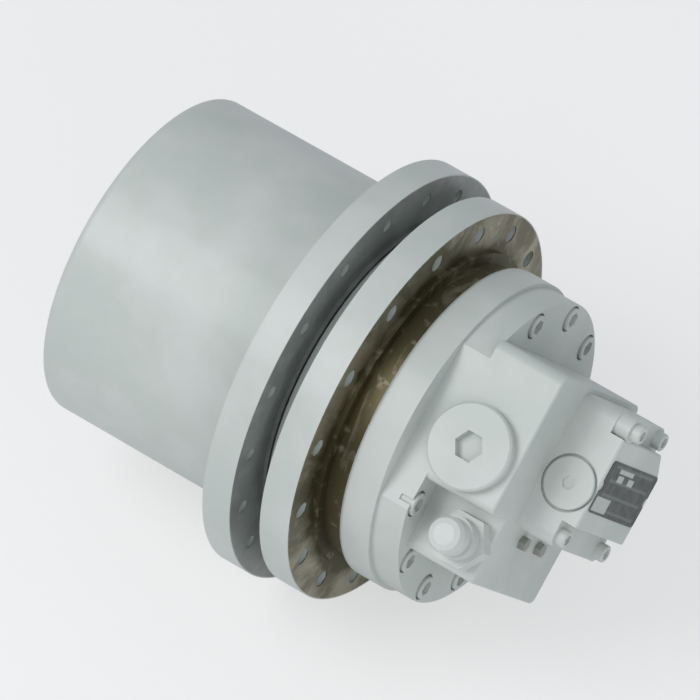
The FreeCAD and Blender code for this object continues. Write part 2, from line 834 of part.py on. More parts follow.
def phaseAt(direction, turn, teeth):
    # how far the direction is past a tooth's centre, in teeth
    return (direction - turn) * teeth / (2 * math.pi)


def planetTurn(direction, ringTeeth, planetTeeth):
    # the ring gear has a tooth on +Y; the planet has a gap where the ring has a tooth
    phase = phaseAt(direction, 0, ringTeeth) + 0.5
    return direction - phase * 2 * math.pi / planetTeeth


def sunTurn(ringTeeth, planetTeeth, sunTeeth):
    # from the planet on +Y, whose mate has a gap where the planet has a tooth
    facing = phaseAt(math.pi, planetTurn(0, ringTeeth, planetTeeth), planetTeeth)
    return -(0.5 - facing) * 2 * math.pi / sunTeeth


def makePlanets(stage, count, teeth, sunTeeth, start, width, pin):
    ringTeeth = int(value("dim.RingTeeth"))
    reach = (teeth + sunTeeth) * value("dim.GearModule") / 2
    bore = value(pin) / 2 + value("dim.BushWall") + value("dim.RunningFit")
    blank = gearSolid(teeth, start, width).cut(rod(bore, start - width, start))
    for index in range(count):
        direction = 2 * math.pi * index / count
        turn = planetTurn(direction, ringTeeth, teeth)
        place = Vector(0, reach * math.cos(direction), reach * math.sin(direction))
        spin = Rotation(Vector(1, 0, 0), math.degrees(turn))
        label = "planet_gear_%s_%s" % (stage, "abcd"[index])
        solidPart(label, blank.copy(), Placement(place, spin))


def makeRingGear():
    start = value(stageTwoStart + " + dim.StageGap")
    end = value(stageOneEnd + " - dim.StageGap")
    teeth = int(value("dim.RingTeeth"))
    module = value("dim.GearModule")
    pitch = teeth * module / 2
    space = math.pi * module / 2 + value("dim.MeshGap")
    cutter = gearOutline(
        teeth, space,
        pitch - value("dim.Addendum") * module,
        pitch + value("dim.Dedendum") * module,
    )
    cutter.rotate(Vector(0, 0, 0), Vector(1, 0, 0), 180 / teeth)
    cutter.translate(Vector(end, 0, 0))
    bore = Part.Face(cutter).extrude(Vector(start - end, 0, 0))
    ring = rod(value("dim.RingSeatDiameter/2 - dim.CloseFit"), end, start).cut(bore)
    solidPart("ring_gear", ring)


def makeSuns():
    ringTeeth = int(value("dim.RingTeeth"))
    oneTeeth = int(value("dim.SunOneTeeth"))
    start = value(stageOneStart)
    end = value(stageOneEnd)
    sun = gearSolid(oneTeeth, start, start - end)
    stem = rod(value(half("StemDiameter")), end - value("dim.StemReach"), value(sleeveMiddle) - 0.5)
    turn = sunTurn(ringTeeth, int(value("dim.PlanetOneTeeth")), oneTeeth)
    spin = Rotation(Vector(1, 0, 0), math.degrees(turn))
    solidPart("sun_gear_one", sun.fuse(stem).removeSplitter(), Placement(Vector(0, 0, 0), spin))
    twoTeeth = int(value("dim.SunTwoTeeth"))
    start = value(stageTwoStart)
    end = value(stageTwoEnd)
    neck = rod(value(half("SunTwoNeck")), value(carrierEnd), end)
    sun = gearSolid(twoTeeth, start, start - end).fuse(neck)
    sun = sun.cut(rod(value(half("SunTwoBore")), value(carrierEnd), start)).removeSplitter()
    turn = sunTurn(ringTeeth, int(value("dim.PlanetTwoTeeth")), twoTeeth)
    spin = Rotation(Vector(1, 0, 0), math.degrees(turn))
    solidPart("sun_gear_two", sun, Placement(Vector(0, 0, 0), spin))


def planetReach(planet, sun):
    return "(dim.%s + dim.%s)*dim.GearModule/2" % (planet, sun)


def makeCarrierOne():
    body = newBody("carrier_one")
    turnProfile(body, "Plate", [[
        (carrierStart, "dim.SunTwoNeck/2 + dim.CloseFit"),
        (carrierStart, half("CarrierOneDiameter")),
        (carrierEnd, half("CarrierOneDiameter")),
        (carrierEnd, "dim.SunTwoNeck/2 + dim.CloseFit"),
    ]])
    holes = newSketch(body, "PinHole", "YZ_Plane", carrierStart)
    drawCircle(holes, planetReach("PlanetOneTeeth", "SunOneTeeth"), "0", "dim.PlanetOnePin/2 - dim.PinStep + dim.CloseFit")
    hole = pocket(body, holes, "PinBore", "dim.CarrierThickness")
    polar(body, [hole], "PinBores", "dim.PlanetOneCount")
    windows = newSketch(body, "Window", "YZ_Plane", carrierStart)
    drawCircle(windows, planetReach("PlanetOneTeeth", "SunOneTeeth"), "0", "dim.WindowDiameter/2")
    windows.setExpression(".AttachmentOffset.Rotation.Angle", "180/dim.PlanetOneCount")
    window = pocket(body, windows, "OilWindow", "dim.CarrierThickness")
    polar(body, [window], "OilWindows", "dim.PlanetOneCount")


def makePlanetPins():
    one = newBody("planet_one_pins")
    reach = planetReach("PlanetOneTeeth", "SunOneTeeth")
    pin = turnBeside(one, "Pin", [
        (carrierStart, "0"),
        (carrierStart, "dim.PlanetOnePin/2 - dim.PinStep"),
        (carrierEnd, "dim.PlanetOnePin/2 - dim.PinStep"),
        (carrierEnd, half("PlanetOnePin")),
        (stageOneEnd + " - dim.PlanetSideGap", half("PlanetOnePin")),
        (stageOneEnd + " - dim.PlanetSideGap", "dim.PlanetOnePin/2 + dim.PinHeadRise"),
        (stageOneEnd + " - dim.PlanetSideGap - dim.PinHeadThickness", "dim.PlanetOnePin/2 + dim.PinHeadRise"),
        (stageOneEnd + " - dim.PlanetSideGap - dim.PinHeadThickness", "0"),
    ], reach)
    polar(one, [pin], "Pins", "dim.PlanetOneCount")
    two = newBody("planet_two_pins")
    reach = planetReach("PlanetTwoTeeth", "SunTwoTeeth")
    pin = turnBeside(two, "Pin", [
        (spindleEnd + " + dim.PinDepth", "0"),
        (spindleEnd + " + dim.PinDepth", "dim.PlanetTwoPin/2 - dim.PinStep"),
        (spindleEnd, "dim.PlanetTwoPin/2 - dim.PinStep"),
        (spindleEnd, half("PlanetTwoPin")),
        (plateTwoStart, half("PlanetTwoPin")),
        (plateTwoStart, "dim.PlanetTwoPin/2 - dim.PinStep"),
        (plateTwoEnd, "dim.PlanetTwoPin/2 - dim.PinStep"),
        (plateTwoEnd, "0"),
    ], reach)
    polar(two, [pin], "Pins", "dim.PlanetTwoCount")


def makePlanetBushes():
    stages = (
        ("planet_one_bushes", "PlanetOnePin", stageOneStart, stageOneEnd,
         planetReach("PlanetOneTeeth", "SunOneTeeth"), "dim.PlanetOneCount"),
        ("planet_two_bushes", "PlanetTwoPin", stageTwoStart, stageTwoEnd,
         planetReach("PlanetTwoTeeth", "SunTwoTeeth"), "dim.PlanetTwoCount"),
    )
    for label, pin, start, end, reach, count in stages:
        body = newBody(label)
        inner = half(pin) + " + dim.CloseFit"
        outer = half(pin) + " + dim.BushWall"
        bush = turnBeside(body, "Bush", [(start, inner), (start, outer), (end, outer), (end, inner)], reach)
        polar(body, [bush], "Bushes", count)


def makeCarrierTwoPlate():
    body = newBody("carrier_two_plate")
    turnProfile(body, "Plate", [[
        (plateTwoStart, half("CarrierTwoBore")),
        (plateTwoStart, half("CarrierTwoDiameter")),
        (plateTwoEnd, half("CarrierTwoDiameter")),
        (plateTwoEnd, half("CarrierTwoBore")),
    ]])
    holes = newSketch(body, "PinHole", "YZ_Plane", plateTwoStart)
    drawCircle(holes, planetReach("PlanetTwoTeeth", "SunTwoTeeth"), "0", "dim.PlanetTwoPin/2 - dim.PinStep + dim.CloseFit")
    hole = pocket(body, holes, "PinBore", "dim.CarrierTwoThickness")
    polar(body, [hole], "PinBores", "dim.PlanetTwoCount")


# ---------- motor ----------

def makeShaft():
    body = newBody("motor_shaft")
    turnProfile(body, "Shaft", [[
        (sleeveMiddle, "0"),
        (sleeveMiddle, half("ShaftDiameter")),
        (blockEnd, half("ShaftDiameter")),
        (blockEnd, half("ShaftTailDiameter")),
        (blockEnd + " + dim.ShaftTailLength", half("ShaftTailDiameter")),
        (blockEnd + " + dim.ShaftTailLength", "0"),
    ]])
    turned("coupling_sleeve", [
        (sleeveStart, "dim.ShaftDiameter/2 + dim.CloseFit"),
        (sleeveStart, half("SleeveDiameter")),
        (sleeveEnd, half("SleeveDiameter")),
        (sleeveEnd, "dim.StemDiameter/2 + dim.CloseFit"),
        (sleeveMiddle, "dim.StemDiameter/2 + dim.CloseFit"),
        (sleeveMiddle, "dim.ShaftDiameter/2 + dim.CloseFit"),
    ])
    outer = half("ShaftBearingDiameter")
    ringEnd = shaftBearingStart + " + dim.ShaftBearingWidth"
    turned(
        "shaft_bearing_cups",
        [
            (shaftBearingStart, outer),
            (shaftBearingStart, outer + " - dim.ShaftBearingWall"),
            (ringEnd, outer + " - dim.ShaftBearingWall - 2"),
            (ringEnd, outer),
        ],
        [
            ("dim.CasingLength", "dim.ShaftTailDiameter/2 + dim.RunningFit"),
            ("dim.CasingLength", "dim.ShaftTailDiameter/2 + dim.ShaftBearingWall"),
            (blockEnd + " + dim.ShaftTailLength", "dim.ShaftTailDiameter/2 + dim.ShaftBearingWall"),
            (blockEnd + " + dim.ShaftTailLength", "dim.ShaftTailDiameter/2 + dim.RunningFit"),
        ],
    )
    inner = "dim.ShaftDiameter/2 + dim.CloseFit"
    turned("shaft_bearing_cone", [
        (shaftBearingStart, inner),
        (ringEnd, inner),
        (ringEnd, inner + " + dim.ShaftBearingWall - 2"),
        (shaftBearingStart, inner + " + dim.ShaftBearingWall"),
    ])
    turned("shaft_seal", [
        (sealStart, "dim.ShaftDiameter/2 + dim.RunningFit"),
        (sealStart + " + 2", "dim.ShaftDiameter/2 + 4"),
        (sealStart + " + dim.ShaftSealWidth - 2", "dim.ShaftDiameter/2 + 4"),
        (sealStart + " + dim.ShaftSealWidth - 2", outer + " - 4"),
        (sealStart, outer + " - 4"),
    ])


def makeRotor():
    body = newBody("cylinder_block")
    turnProfile(body, "Block", [[
        (blockStart, "dim.ShaftDiameter/2 + dim.CloseFit"),
        (blockStart, "dim.BlockDiameter/2 - 3"),
        (blockStart + " + 3", half("BlockDiameter")),
        (blockEnd, half("BlockDiameter")),
        (blockEnd, "dim.ShaftDiameter/2 + dim.CloseFit"),
    ]])
    bores = newSketch(body, "Bore", "YZ_Plane", blockStart)
    drawCircle(bores, half("PistonCircle"), "0", "dim.PistonDiameter/2 + dim.CloseFit")
    bore = pocket(body, bores, "PistonBore", "dim.PistonDepth", back=True)
    polar(body, [bore], "PistonBores", "dim.PistonCount")

    pistons = newBody("motor_pistons")
    shoeBack = swashFace + " + dim.SealFilm + dim.ShoeHeight"
    neck = shoeBack + " + dim.RetainerThickness"
    piston = turnBeside(pistons, "Piston", [
        (swashFace + " + dim.SealFilm", "0"),
        (swashFace + " + dim.SealFilm", half("ShoeDiameter")),
        (shoeBack, half("ShoeDiameter")),
        (shoeBack, "dim.PistonDiameter/2 - 4"),
        (neck, "dim.PistonDiameter/2 - 4"),
        (neck + " + 3", half("PistonDiameter")),
        (blockStart + " + dim.PistonDepth - 12", half("PistonDiameter")),
        (blockStart + " + dim.PistonDepth - 12", "0"),
    ], half("PistonCircle"))
    polar(pistons, [piston], "Pistons", "dim.PistonCount")

    retainer = newBody("shoe_retainer")
    turnProfile(retainer, "Plate", [[
        (shoeBack, "dim.ShaftDiameter/2 + dim.RetainerBoreGap"),
        (shoeBack, half("RetainerDiameter")),
        (neck, half("RetainerDiameter")),
        (neck, "dim.ShaftDiameter/2 + dim.RetainerBoreGap"),
    ]])
    holes = newSketch(retainer, "Hole", "YZ_Plane", neck)
    drawCircle(holes, half("PistonCircle"), "0", "dim.PistonDiameter/2 - 4 + dim.PartGap")
    hole = pocket(retainer, holes, "NeckHole", "dim.RetainerThickness")
    polar(retainer, [hole], "NeckHoles", "dim.PistonCount")

    turned("swash_plate", [
        (swashFloor, half("SwashBoreHole")),
        (swashFloor, half("SwashDiameter") + " - 10"),
        (swashFloor + " + 10", half("SwashDiameter")),
        (swashFace, half("SwashDiameter")),
        (swashFace, half("SwashBoreHole")),
    ])
    turned("valve_plate", [
        (blockEnd + " + dim.SealFilm", "dim.ShaftTailDiameter/2 + dim.ShaftBearingWall"),
        (blockEnd + " + dim.SealFilm", half("ValvePlateDiameter")),
        ("dim.CasingLength", half("ValvePlateDiameter")),
        ("dim.CasingLength", "dim.ShaftTailDiameter/2 + dim.ShaftBearingWall"),
    ])


def makeBrake():
    step = value("dim.BrakeDiscThickness")
    discs = int(value("dim.BrakeDiscCount"))
    steel = []
    lined = []
    for layer in range(2 * discs + 1):
        start = "%s + %d*dim.BrakeDiscThickness" % (motorFloor, layer)
        end = start + " + dim.BrakeDiscThickness"
        if layer % 2:
            inner = "dim.BlockDiameter/2 + dim.CloseFit"
            outer = half("BrakeDiscDiameter")
            start = start + " + dim.SealFilm"
            end = end + " - dim.SealFilm"
            lined.append([(start, inner), (start, outer), (end, outer), (end, inner)])
        else:
            inner = half("BrakePlateBore")
            outer = half("MotorBore") + " - dim.CloseFit"
            steel.append([(start, inner), (start, outer), (end, outer), (end, inner)])
    turned("brake_steel_plates", *steel)
    turned("brake_friction_discs", *lined)
    pistonStart = "%s + %d*dim.BrakeDiscThickness + dim.SealFilm" % (motorFloor, 2 * discs + 1)
    pistonEnd = pistonStart + " + dim.BrakePistonLength"
    turned("brake_piston", [
        (pistonStart, half("BrakePistonBore")),
        (pistonStart, half("MotorBore") + " - 8"),
        (pistonStart + " + 10", half("MotorBore") + " - 8"),
        (pistonStart + " + 10", "dim.MotorBore/2 - dim.RunningFit"),
        (pistonEnd, "dim.MotorBore/2 - dim.RunningFit"),
        (pistonEnd, half("BrakePistonBore")),
    ])
    middle = "(%s + dim.CasingLength)/2" % pistonEnd
    inner = half("DiscSpringBore")
    outer = half("DiscSpringDiameter")
    thick = "dim.DiscSpringThickness"
    turned(
        "brake_springs",
        [(pistonEnd, inner), (pistonEnd + " + " + thick, inner), (middle, outer), ("%s - %s" % (middle, thick), outer)],
        [(middle + " + dim.SealFilm", outer), ("%s + %s" % (middle, thick), outer),
         ("dim.CasingLength", inner), ("dim.CasingLength - " + thick, inner)],
    )


def makeCasingSeal():
    turned("casing_seal", [
        ("dim.CasingLength - dim.SealStepDepth", "dim.MotorBore/2 + dim.PartGap"),
        ("dim.CasingLength - dim.SealStepDepth", "dim.MotorBore/2 + dim.SealStepWidth"),
        ("dim.CasingLength", "dim.MotorBore/2 + dim.SealStepWidth"),
        ("dim.CasingLength", "dim.MotorBore/2 + dim.PartGap"),
    ])


# ---------- port block, drawn square and then turned about X by PortClocking ----------
# In its own drawing -Y is the face with the counterbalance plug and +Z is the top.

def makePortBlock():
    body = newBody("port_block")
    sketch = newSketch(body, "Disc", "YZ_Plane", "dim.CasingLength")
    drawCircle(sketch, "0", "0", half("DiscDiameter"))
    pad(body, sketch, "DiscPad", "dim.DiscThickness")
    sketch = newSketch(body, "Outline", "YZ_Plane", discEnd)
    drawOutline(sketch, [
        ("-dim.FacetDistance", "dim.FacetTop"),
        ("-dim.FacetDistance", "-dim.FacetBottom"),
        ("-dim.ShelfDistance", "-dim.FacetBottom"),
        ("-dim.ShelfDistance", "-dim.BlockBottom"),
        ("dim.BlockBack", "-dim.BlockBottom"),
        ("dim.BlockBack", "dim.FacetTop"),
    ])
    block = pad(body, sketch, "BlockPad", "dim.BlockBody")
    doc.recompute()
    bottom = value(discEnd)
    end = value(portEnd)

    def longEdge(edge):
        box = edge.BoundBox
        along = abs(box.XLength - (end - bottom)) < 0.01
        inner = abs(box.YMin + value("dim.ShelfDistance")) < 0.01 and box.ZMin > -value("dim.BlockBottom") + 1
        return along and box.YLength < 0.01 and box.ZLength < 0.01 and not inner

    def outerCorner(edge):
        # this corner passes through the bore of the track frame
        return longEdge(edge) and edge.BoundBox.ZMin > 0 and edge.BoundBox.YMin < 0

    rounds = edgesWhere(block.Shape, lambda edge: longEdge(edge) and not outerCorner(edge))
    block = dress(body, "Fillet", "BlockRounds", block, rounds, "dim.BlockRound")
    doc.recompute()
    corner = edgesWhere(block.Shape, outerCorner)
    block = dress(body, "Fillet", "BlockCorner", block, corner, "dim.BlockCornerRound")
    doc.recompute()
    rim = edgesWhere(block.Shape, lambda edge: edge.BoundBox.XLength < 0.01 and abs(edge.BoundBox.XMin - end) < 0.01)
    dress(body, "Chamfer", "BlockRim", block, rim, "dim.BlockChamfer")

    flat = newSketch(body, "Flat", "YZ_Plane", discEnd)
    drawOutline(flat, [
        ("-dim.FacetDistance", "dim.DiscDiameter"),
        ("-dim.DiscDiameter", "dim.DiscDiameter"),
        ("-dim.DiscDiameter", "-dim.DiscDiameter"),
        ("-dim.FacetDistance", "-dim.DiscDiameter"),
    ])
    pocket(body, flat, "DiscFlat", "dim.DiscThickness")
    bearing = newSketch(body, "Needle", "YZ_Plane", "dim.CasingLength")
    drawCircle(bearing, "0", "0", "dim.ShaftTailDiameter/2 + dim.ShaftBearingWall")
    pocket(body, bearing, "NeedlePocket", "dim.ShaftTailLength", back=True)

    bore = "dim.SpoolDiameter/2 + dim.CloseFit"
    front = "dim.PlugThread/2 + dim.CloseFit"
    back = "dim.BackPlugThread/2 + dim.CloseFit"
    turnBeside(body, "SpoolBore", [
        ("-dim.FacetDistance - 1", "0"),
        ("-dim.FacetDistance - 1", front),
        ("-dim.FacetDistance + dim.PlugThreadLength", front),
        ("-dim.FacetDistance + dim.PlugThreadLength", bore),
        ("dim.BlockBack - dim.PlugThreadLength", bore),
        ("dim.BlockBack - dim.PlugThreadLength", back),
        ("dim.BlockBack + 1", back),
        ("dim.BlockBack + 1", "0"),
    ], "dim.SpoolPlace", upright=True, kind="Groove")

    y, z = onCircle("dim.DiscBoltCircle", "dim.DiscBoltTurn")
    holes = newSketch(body, "BoltHole", "YZ_Plane", discEnd)
    drawCircle(holes, y, z, "dim.DiscBolt/2 + dim.PartGap*2")
    hole = pocket(body, holes, "BoltHole1", "dim.DiscThickness")
    sinks = newSketch(body, "BoltSink", "YZ_Plane", discEnd)
    drawCircle(sinks, y, z, half("DiscBoltSinkDiameter"))
    sink = pocket(body, sinks, "BoltSink1", "dim.DiscBoltSink")
    polar(body, [hole, sink], "Bolts", "dim.DiscBoltCount", "dim.DiscBoltSweep")

    # adapter port in the low shelf, and the drilled ports in the underside and the back
    ports = (
        ("Adapter", "dim.AdapterPlace", "-dim.AdapterDrop", "dim.AdapterThread", "dim.AdapterThreadLength", "-dim.ShelfDistance", 1),
        ("MainOne", "dim.MainPortPlace", "-dim.MainPortDrop", "dim.MainPortDiameter", "dim.MainPortDepth", "dim.BlockBack", -1),
        ("MainTwo", "dim.MainPortPlace", "dim.MainPortDrop", "dim.MainPortDiameter", "dim.MainPortDepth", "dim.BlockBack", -1),
        ("ReliefOne", "dim.ReliefPlace", "-dim.ReliefDrop", "dim.ReliefThread", "dim.ReliefThreadLength", "dim.BlockBack", -1),
        ("ReliefTwo", "dim.ReliefPlace", "dim.ReliefDrop", "dim.ReliefThread", "dim.ReliefThreadLength", "dim.BlockBack", -1),
    )
    for name, x, z, diameter, depth, face, inward in ports:
        radius = diameter + "/2 + dim.CloseFit" if name in ("Adapter", "ReliefOne", "ReliefTwo") else diameter + "/2"
        outside = "%s - %d" % (face, inward)
        floor = "%s + %d*%s" % (face, inward, depth)
        turnBeside(body, name, [
            (outside, "0"), (outside, radius), (floor, radius), (floor + " + %d*dim.DrillPoint" % inward, "0"),
        ], x, upright=True, height=z, kind="Groove")
    for name, diameter, depth, y in (
            ("Drain", "dim.DrainPortDiameter", "dim.DrainPortDepth", "dim.DrainPlace"),
            ("Pilot", "dim.PilotPortDiameter", "dim.PilotPortDepth", "dim.PilotPlace")):
        sketch = newSketch(body, name, "XY_Plane", "-dim.BlockBottom")
        drawCircle(sketch, "dim.UndersidePlace", y, diameter + "/2")
        pocket(body, sketch, name + "Port", depth, back=True)
    for name, y, z, seat in valveScrews():
        sketch = newSketch(body, name, "YZ_Plane", portEnd)
        drawCircle(sketch, y, z, "dim.ValveBolt/2 + dim.CloseFit")
        pocket(body, sketch, name + "Tap", "dim.ValveBoltGrip + dim.TapRunOut")
    for name, y in bleedPlaces():
        sketch = newSketch(body, name, "YZ_Plane", portEnd)
        drawCircle(sketch, y, "-dim.BleedDrop", "dim.BleedThread/2 + dim.CloseFit")
        pocket(body, sketch, name + "Tap", "dim.BleedDepth")
    turnBody(body, "dim.PortClocking")
    return body


def makePortBolts():
    body = newBody("port_block_bolts")
    seat = discEnd + " - dim.DiscBoltSink"
    size = ("dim.DiscBolt", "dim.DiscBoltHead", "dim.DiscBoltHeadHeight",
            "dim.DiscBoltLength", "dim.DiscBoltSocket", 1)
    screw = socketScrew(body, "Screw", seat, half("DiscBoltCircle"), size)
    polar(body, screw, "Ring", "dim.DiscBoltCount", "dim.DiscBoltSweep")
    turnBody(body, "(dim.DiscBoltTurn + dim.PortClocking)")


def hexPlug(body, name, face, outward, place, height, size):
    # a screwed plug in a face square to Y: a round head with a hexagon socket, and a hollow thread
    # outward is the direction of the head along Y
    head, rise, sink, thread, length, bore, boreDepth, socket, chamfer = size
    seat = "%s - %d*%s" % (face, outward, sink)
    top = "%s + %d*%s" % (face, outward, rise)
    end = "%s - %d*%s" % (seat, outward, length)
    turnBeside(body, name, [
        (end + " + %d*%s" % (outward, boreDepth), "0"),
        (end + " + %d*%s" % (outward, boreDepth), bore + "/2"),
        (end, bore + "/2"),
        (end, thread + "/2"),
        (seat, thread + "/2"),
        (seat, head + "/2"),
        ("%s - %d*%s" % (top, outward, chamfer), head + "/2"),
        (top, "%s/2 - %s" % (head, chamfer)),
        (top, "0"),
    ], place, upright=True, height=height)
    # the XZ plane's normal is -Y
    sketch = newSketch(body, name + "Socket", "XZ_Plane", "-(%s)" % top)
    drawHexagon(sketch, place, height or "0", socket)
    return pocket(body, sketch, name + "SocketCut", "%s + %s - dim.SocketFloor" % (rise, sink), back=outward > 0)


def makeCounterbalance():
    plugs = newBody("counterbalance_plugs")
    for name, face, outward, head, thread in (
            ("Front", "-dim.FacetDistance", -1, "dim.PlugDiameter", "dim.PlugThread"),
            ("Back", "dim.BlockBack", 1, "dim.BackPlugDiameter", "dim.BackPlugThread")):
        size = (head, "dim.PlugHeight", "0", thread, "dim.PlugThreadLength",
                "dim.PlugBore", "dim.PlugBoreDepth", "dim.PlugSocket", "dim.PlugChamfer")
        hexPlug(plugs, name, face, outward, "dim.SpoolPlace", None, size)
    turnBody(plugs, "dim.PortClocking")
    spool = newBody("counterbalance_spool")
    middle = "(dim.BlockBack - dim.FacetDistance)/2"
    land = "dim.SpoolDiameter/2 - dim.RunningFit + dim.CloseFit"
    groove = half("SpoolGroove")
    places = (("/2", land), ("/3.4", land), ("/3.4", groove), ("/10", groove), ("/10", land))
    corners = [("%s - dim.SpoolLength/2" % middle, "0")]
    for share, radius in places:
        corners.append(("%s - dim.SpoolLength%s" % (middle, share), radius))
    for share, radius in reversed(places):
        corners.append(("%s + dim.SpoolLength%s" % (middle, share), radius))
    corners.append(("%s + dim.SpoolLength/2" % middle, "0"))
    turnBeside(spool, "Spool", corners, "dim.SpoolPlace", upright=True)
    turnBody(spool, "dim.PortClocking")
    springs = newBody("counterbalance_springs")
    inner = "dim.SpringDiameter/2 - dim.SpringWall"
    front = "-dim.FacetDistance + dim.PlugThreadLength - dim.PlugBoreDepth"
    back = "dim.BlockBack - dim.PlugThreadLength + dim.PlugBoreDepth"
    for name, start, end in (
            ("Front", front, "%s - dim.SpoolLength/2" % middle),
            ("Back", "%s + dim.SpoolLength/2" % middle, back)):
        turnBeside(springs, name, [
            (start, inner), (start, half("SpringDiameter")), (end, half("SpringDiameter")), (end, inner),
        ], "dim.SpoolPlace", upright=True)
    turnBody(springs, "dim.PortClocking")


def makeReliefValves():
    body = newBody("relief_valves")
    for name, drop in (("Low", "-dim.ReliefDrop"), ("High", "dim.ReliefDrop")):
        face = "dim.BlockBack"
        turnBeside(body, name, [
            (face + " - dim.ReliefThreadLength", "0"),
            (face + " - dim.ReliefThreadLength", half("ReliefThread")),
            (face, half("ReliefThread")),
            (face, half("ReliefCollar")),
            (face + " + dim.ReliefHexHeight", half("ReliefCollar")),
            (face + " + dim.ReliefHexHeight", half("ReliefStem")),
            (face + " + dim.ReliefLength - dim.BlockChamfer", half("ReliefStem")),
            (face + " + dim.ReliefLength", half("ReliefStem") + " - dim.BlockChamfer"),
            (face + " + dim.ReliefLength", "0"),
        ], "dim.ReliefPlace", upright=True, height=drop)
        sketch = newSketch(body, name + "Hex", "XZ_Plane", "-(%s + dim.ReliefHexHeight)" % face)
        drawHexagon(sketch, "dim.ReliefPlace", drop, "dim.ReliefHex")
        pad(body, sketch, name + "HexPad", "dim.ReliefHexHeight - dim.BlockChamfer")
    turnBody(body, "dim.PortClocking")


# ---------- two-speed valve block on the end of the port block ----------

def makeValveBlock():
    body = newBody("valve_block")
    base = newSketch(body, "Base", "YZ_Plane", portEnd)
    drawOutline(base, [
        ("-dim.ValveFace", "dim.ValveBaseTop"),
        ("-dim.ValveFace", "-dim.ValveBaseBottom"),
        ("dim.ValveBack", "-dim.ValveBaseBottom"),
        ("dim.ValveBack", "dim.ValveBaseTop"),
    ])
    block = pad(body, base, "BasePad", "dim.ValveBaseDepth")
    doc.recompute()
    corners = edgesWhere(block.Shape, lambda edge: edge.BoundBox.XLength > 1)
    block = dress(body, "Fillet", "BaseRounds", block, corners, "dim.BossDiameter/2")
    front = newSketch(body, "Front", "YZ_Plane", valveBaseEnd)
    drawOutline(front, [
        ("-dim.ValveFace", "dim.ValveTop"),
        ("-dim.ValveFace", "-dim.ValveBottom"),
        ("dim.ValveBack", "-dim.ValveBottom"),
        ("dim.ValveBack", "dim.ValveTop - dim.ValveBevel"),
        ("dim.ValveBack - dim.ValveBevel", "dim.ValveTop"),
    ])
    block = pad(body, front, "FrontPad", "dim.ValveDepth - dim.ValveBaseDepth")
    doc.recompute()
    end = value(valveEnd)
    rim = edgesWhere(block.Shape, lambda edge: edge.BoundBox.XLength < 0.01 and abs(edge.BoundBox.XMin - end) < 0.01)
    dress(body, "Chamfer", "FrontRim", block, rim, "dim.BlockChamfer")
    boss = newSketch(body, "Boss", "YZ_Plane", valveBaseEnd)
    drawCircle(boss, "-dim.BossSide", "dim.BossTop", half("BossDiameter"))
    pad(body, boss, "BossPad", "dim.BossRise")
    foot = newSketch(body, "Foot", "YZ_Plane", portEnd)
    drawCircle(foot, "dim.BossBackSide", "-dim.BossBottom", half("BossDiameter"))
    pad(body, foot, "FootPad", "dim.ValveBaseDepth")
    for name, y, z, end in valveScrews():
        hole = newSketch(body, name + "Hole", "YZ_Plane", end)
        drawCircle(hole, y, z, "dim.ValveBolt/2 + dim.PartGap")
        pocket(body, hole, name + "Drill", "%s - (%s)" % (end, portEnd))
    seat = "dim.SpeedPlugSink"
    bore = "dim.SpeedSpoolDiameter/2 + dim.CloseFit"
    thread = "dim.SpeedPlugThread/2 + dim.CloseFit"
    sink = "dim.SpeedPlugDiameter/2 + dim.SpeedPlugRing"
    inner = "%s + dim.SpeedPlugThreadLength" % seat
    turnBeside(body, "SpeedBore", [
        ("-dim.ValveFace - 1", "0"),
        ("-dim.ValveFace - 1", sink),
        ("-dim.ValveFace + " + seat, sink),
        ("-dim.ValveFace + " + seat, thread),
        ("-dim.ValveFace + " + inner, thread),
        ("-dim.ValveFace + " + inner, bore),
        ("dim.ValveBack - (%s)" % inner, bore),
        ("dim.ValveBack - (%s)" % inner, thread),
        ("dim.ValveBack - " + seat, thread),
        ("dim.ValveBack - " + seat, sink),
        ("dim.ValveBack + 1", sink),
        ("dim.ValveBack + 1", "0"),
    ], "dim.SpeedPlace", upright=True, height="dim.SpeedHeight", kind="Groove")
    turnBody(body, "dim.PortClocking")


def valveScrews():
    raised = valveBaseEnd + " + dim.BossRise"
    return (
        ("TopFront", "-dim.BossSide", "dim.BossTop", raised),
        ("LowFront", "-dim.BossSide", "-dim.BossBottom", valveBaseEnd),
        ("LowBack", "dim.BossBackSide", "-dim.BossBottom", valveBaseEnd),
        ("TopBack", "dim.BossInset", "dim.BossTop", valveBaseEnd),
    )


def makeValveScrews():
    body = newBody("valve_block_screws")
    for name, y, z, seat in valveScrews():
        shank = newSketch(body, name + "Shank", "YZ_Plane", portEnd + " - dim.ValveBoltGrip")
        drawCircle(shank, y, z, half("ValveBolt"))
        pad(body, shank, name + "ShankPad", "%s - (%s) + dim.ValveBoltGrip" % (seat, portEnd))
        head = newSketch(body, name + "Head", "YZ_Plane", seat)
        drawCircle(head, y, z, half("ValveBoltHead"))
        top = pad(body, head, name + "HeadPad", "dim.ValveBoltHeadHeight")
        doc.recompute()
        edges = edgesWhere(top.Shape, lambda edge: isRingAt(
            edge, value(seat + " + dim.ValveBoltHeadHeight"), value(half("ValveBoltHead")))
            and abs(edge.Curve.Center.y - value(y)) < 0.01 and abs(edge.Curve.Center.z - value(z)) < 0.01)
        dress(body, "Chamfer", name + "HeadRim", top, edges, "1")
        socket = newSketch(body, name + "Socket", "YZ_Plane", seat + " + dim.ValveBoltHeadHeight")
        drawHexagon(socket, y, z, "dim.ValveBoltSocket")
        pocket(body, socket, name + "SocketCut", "dim.ValveBoltHeadHeight/2")
    turnBody(body, "dim.PortClocking")


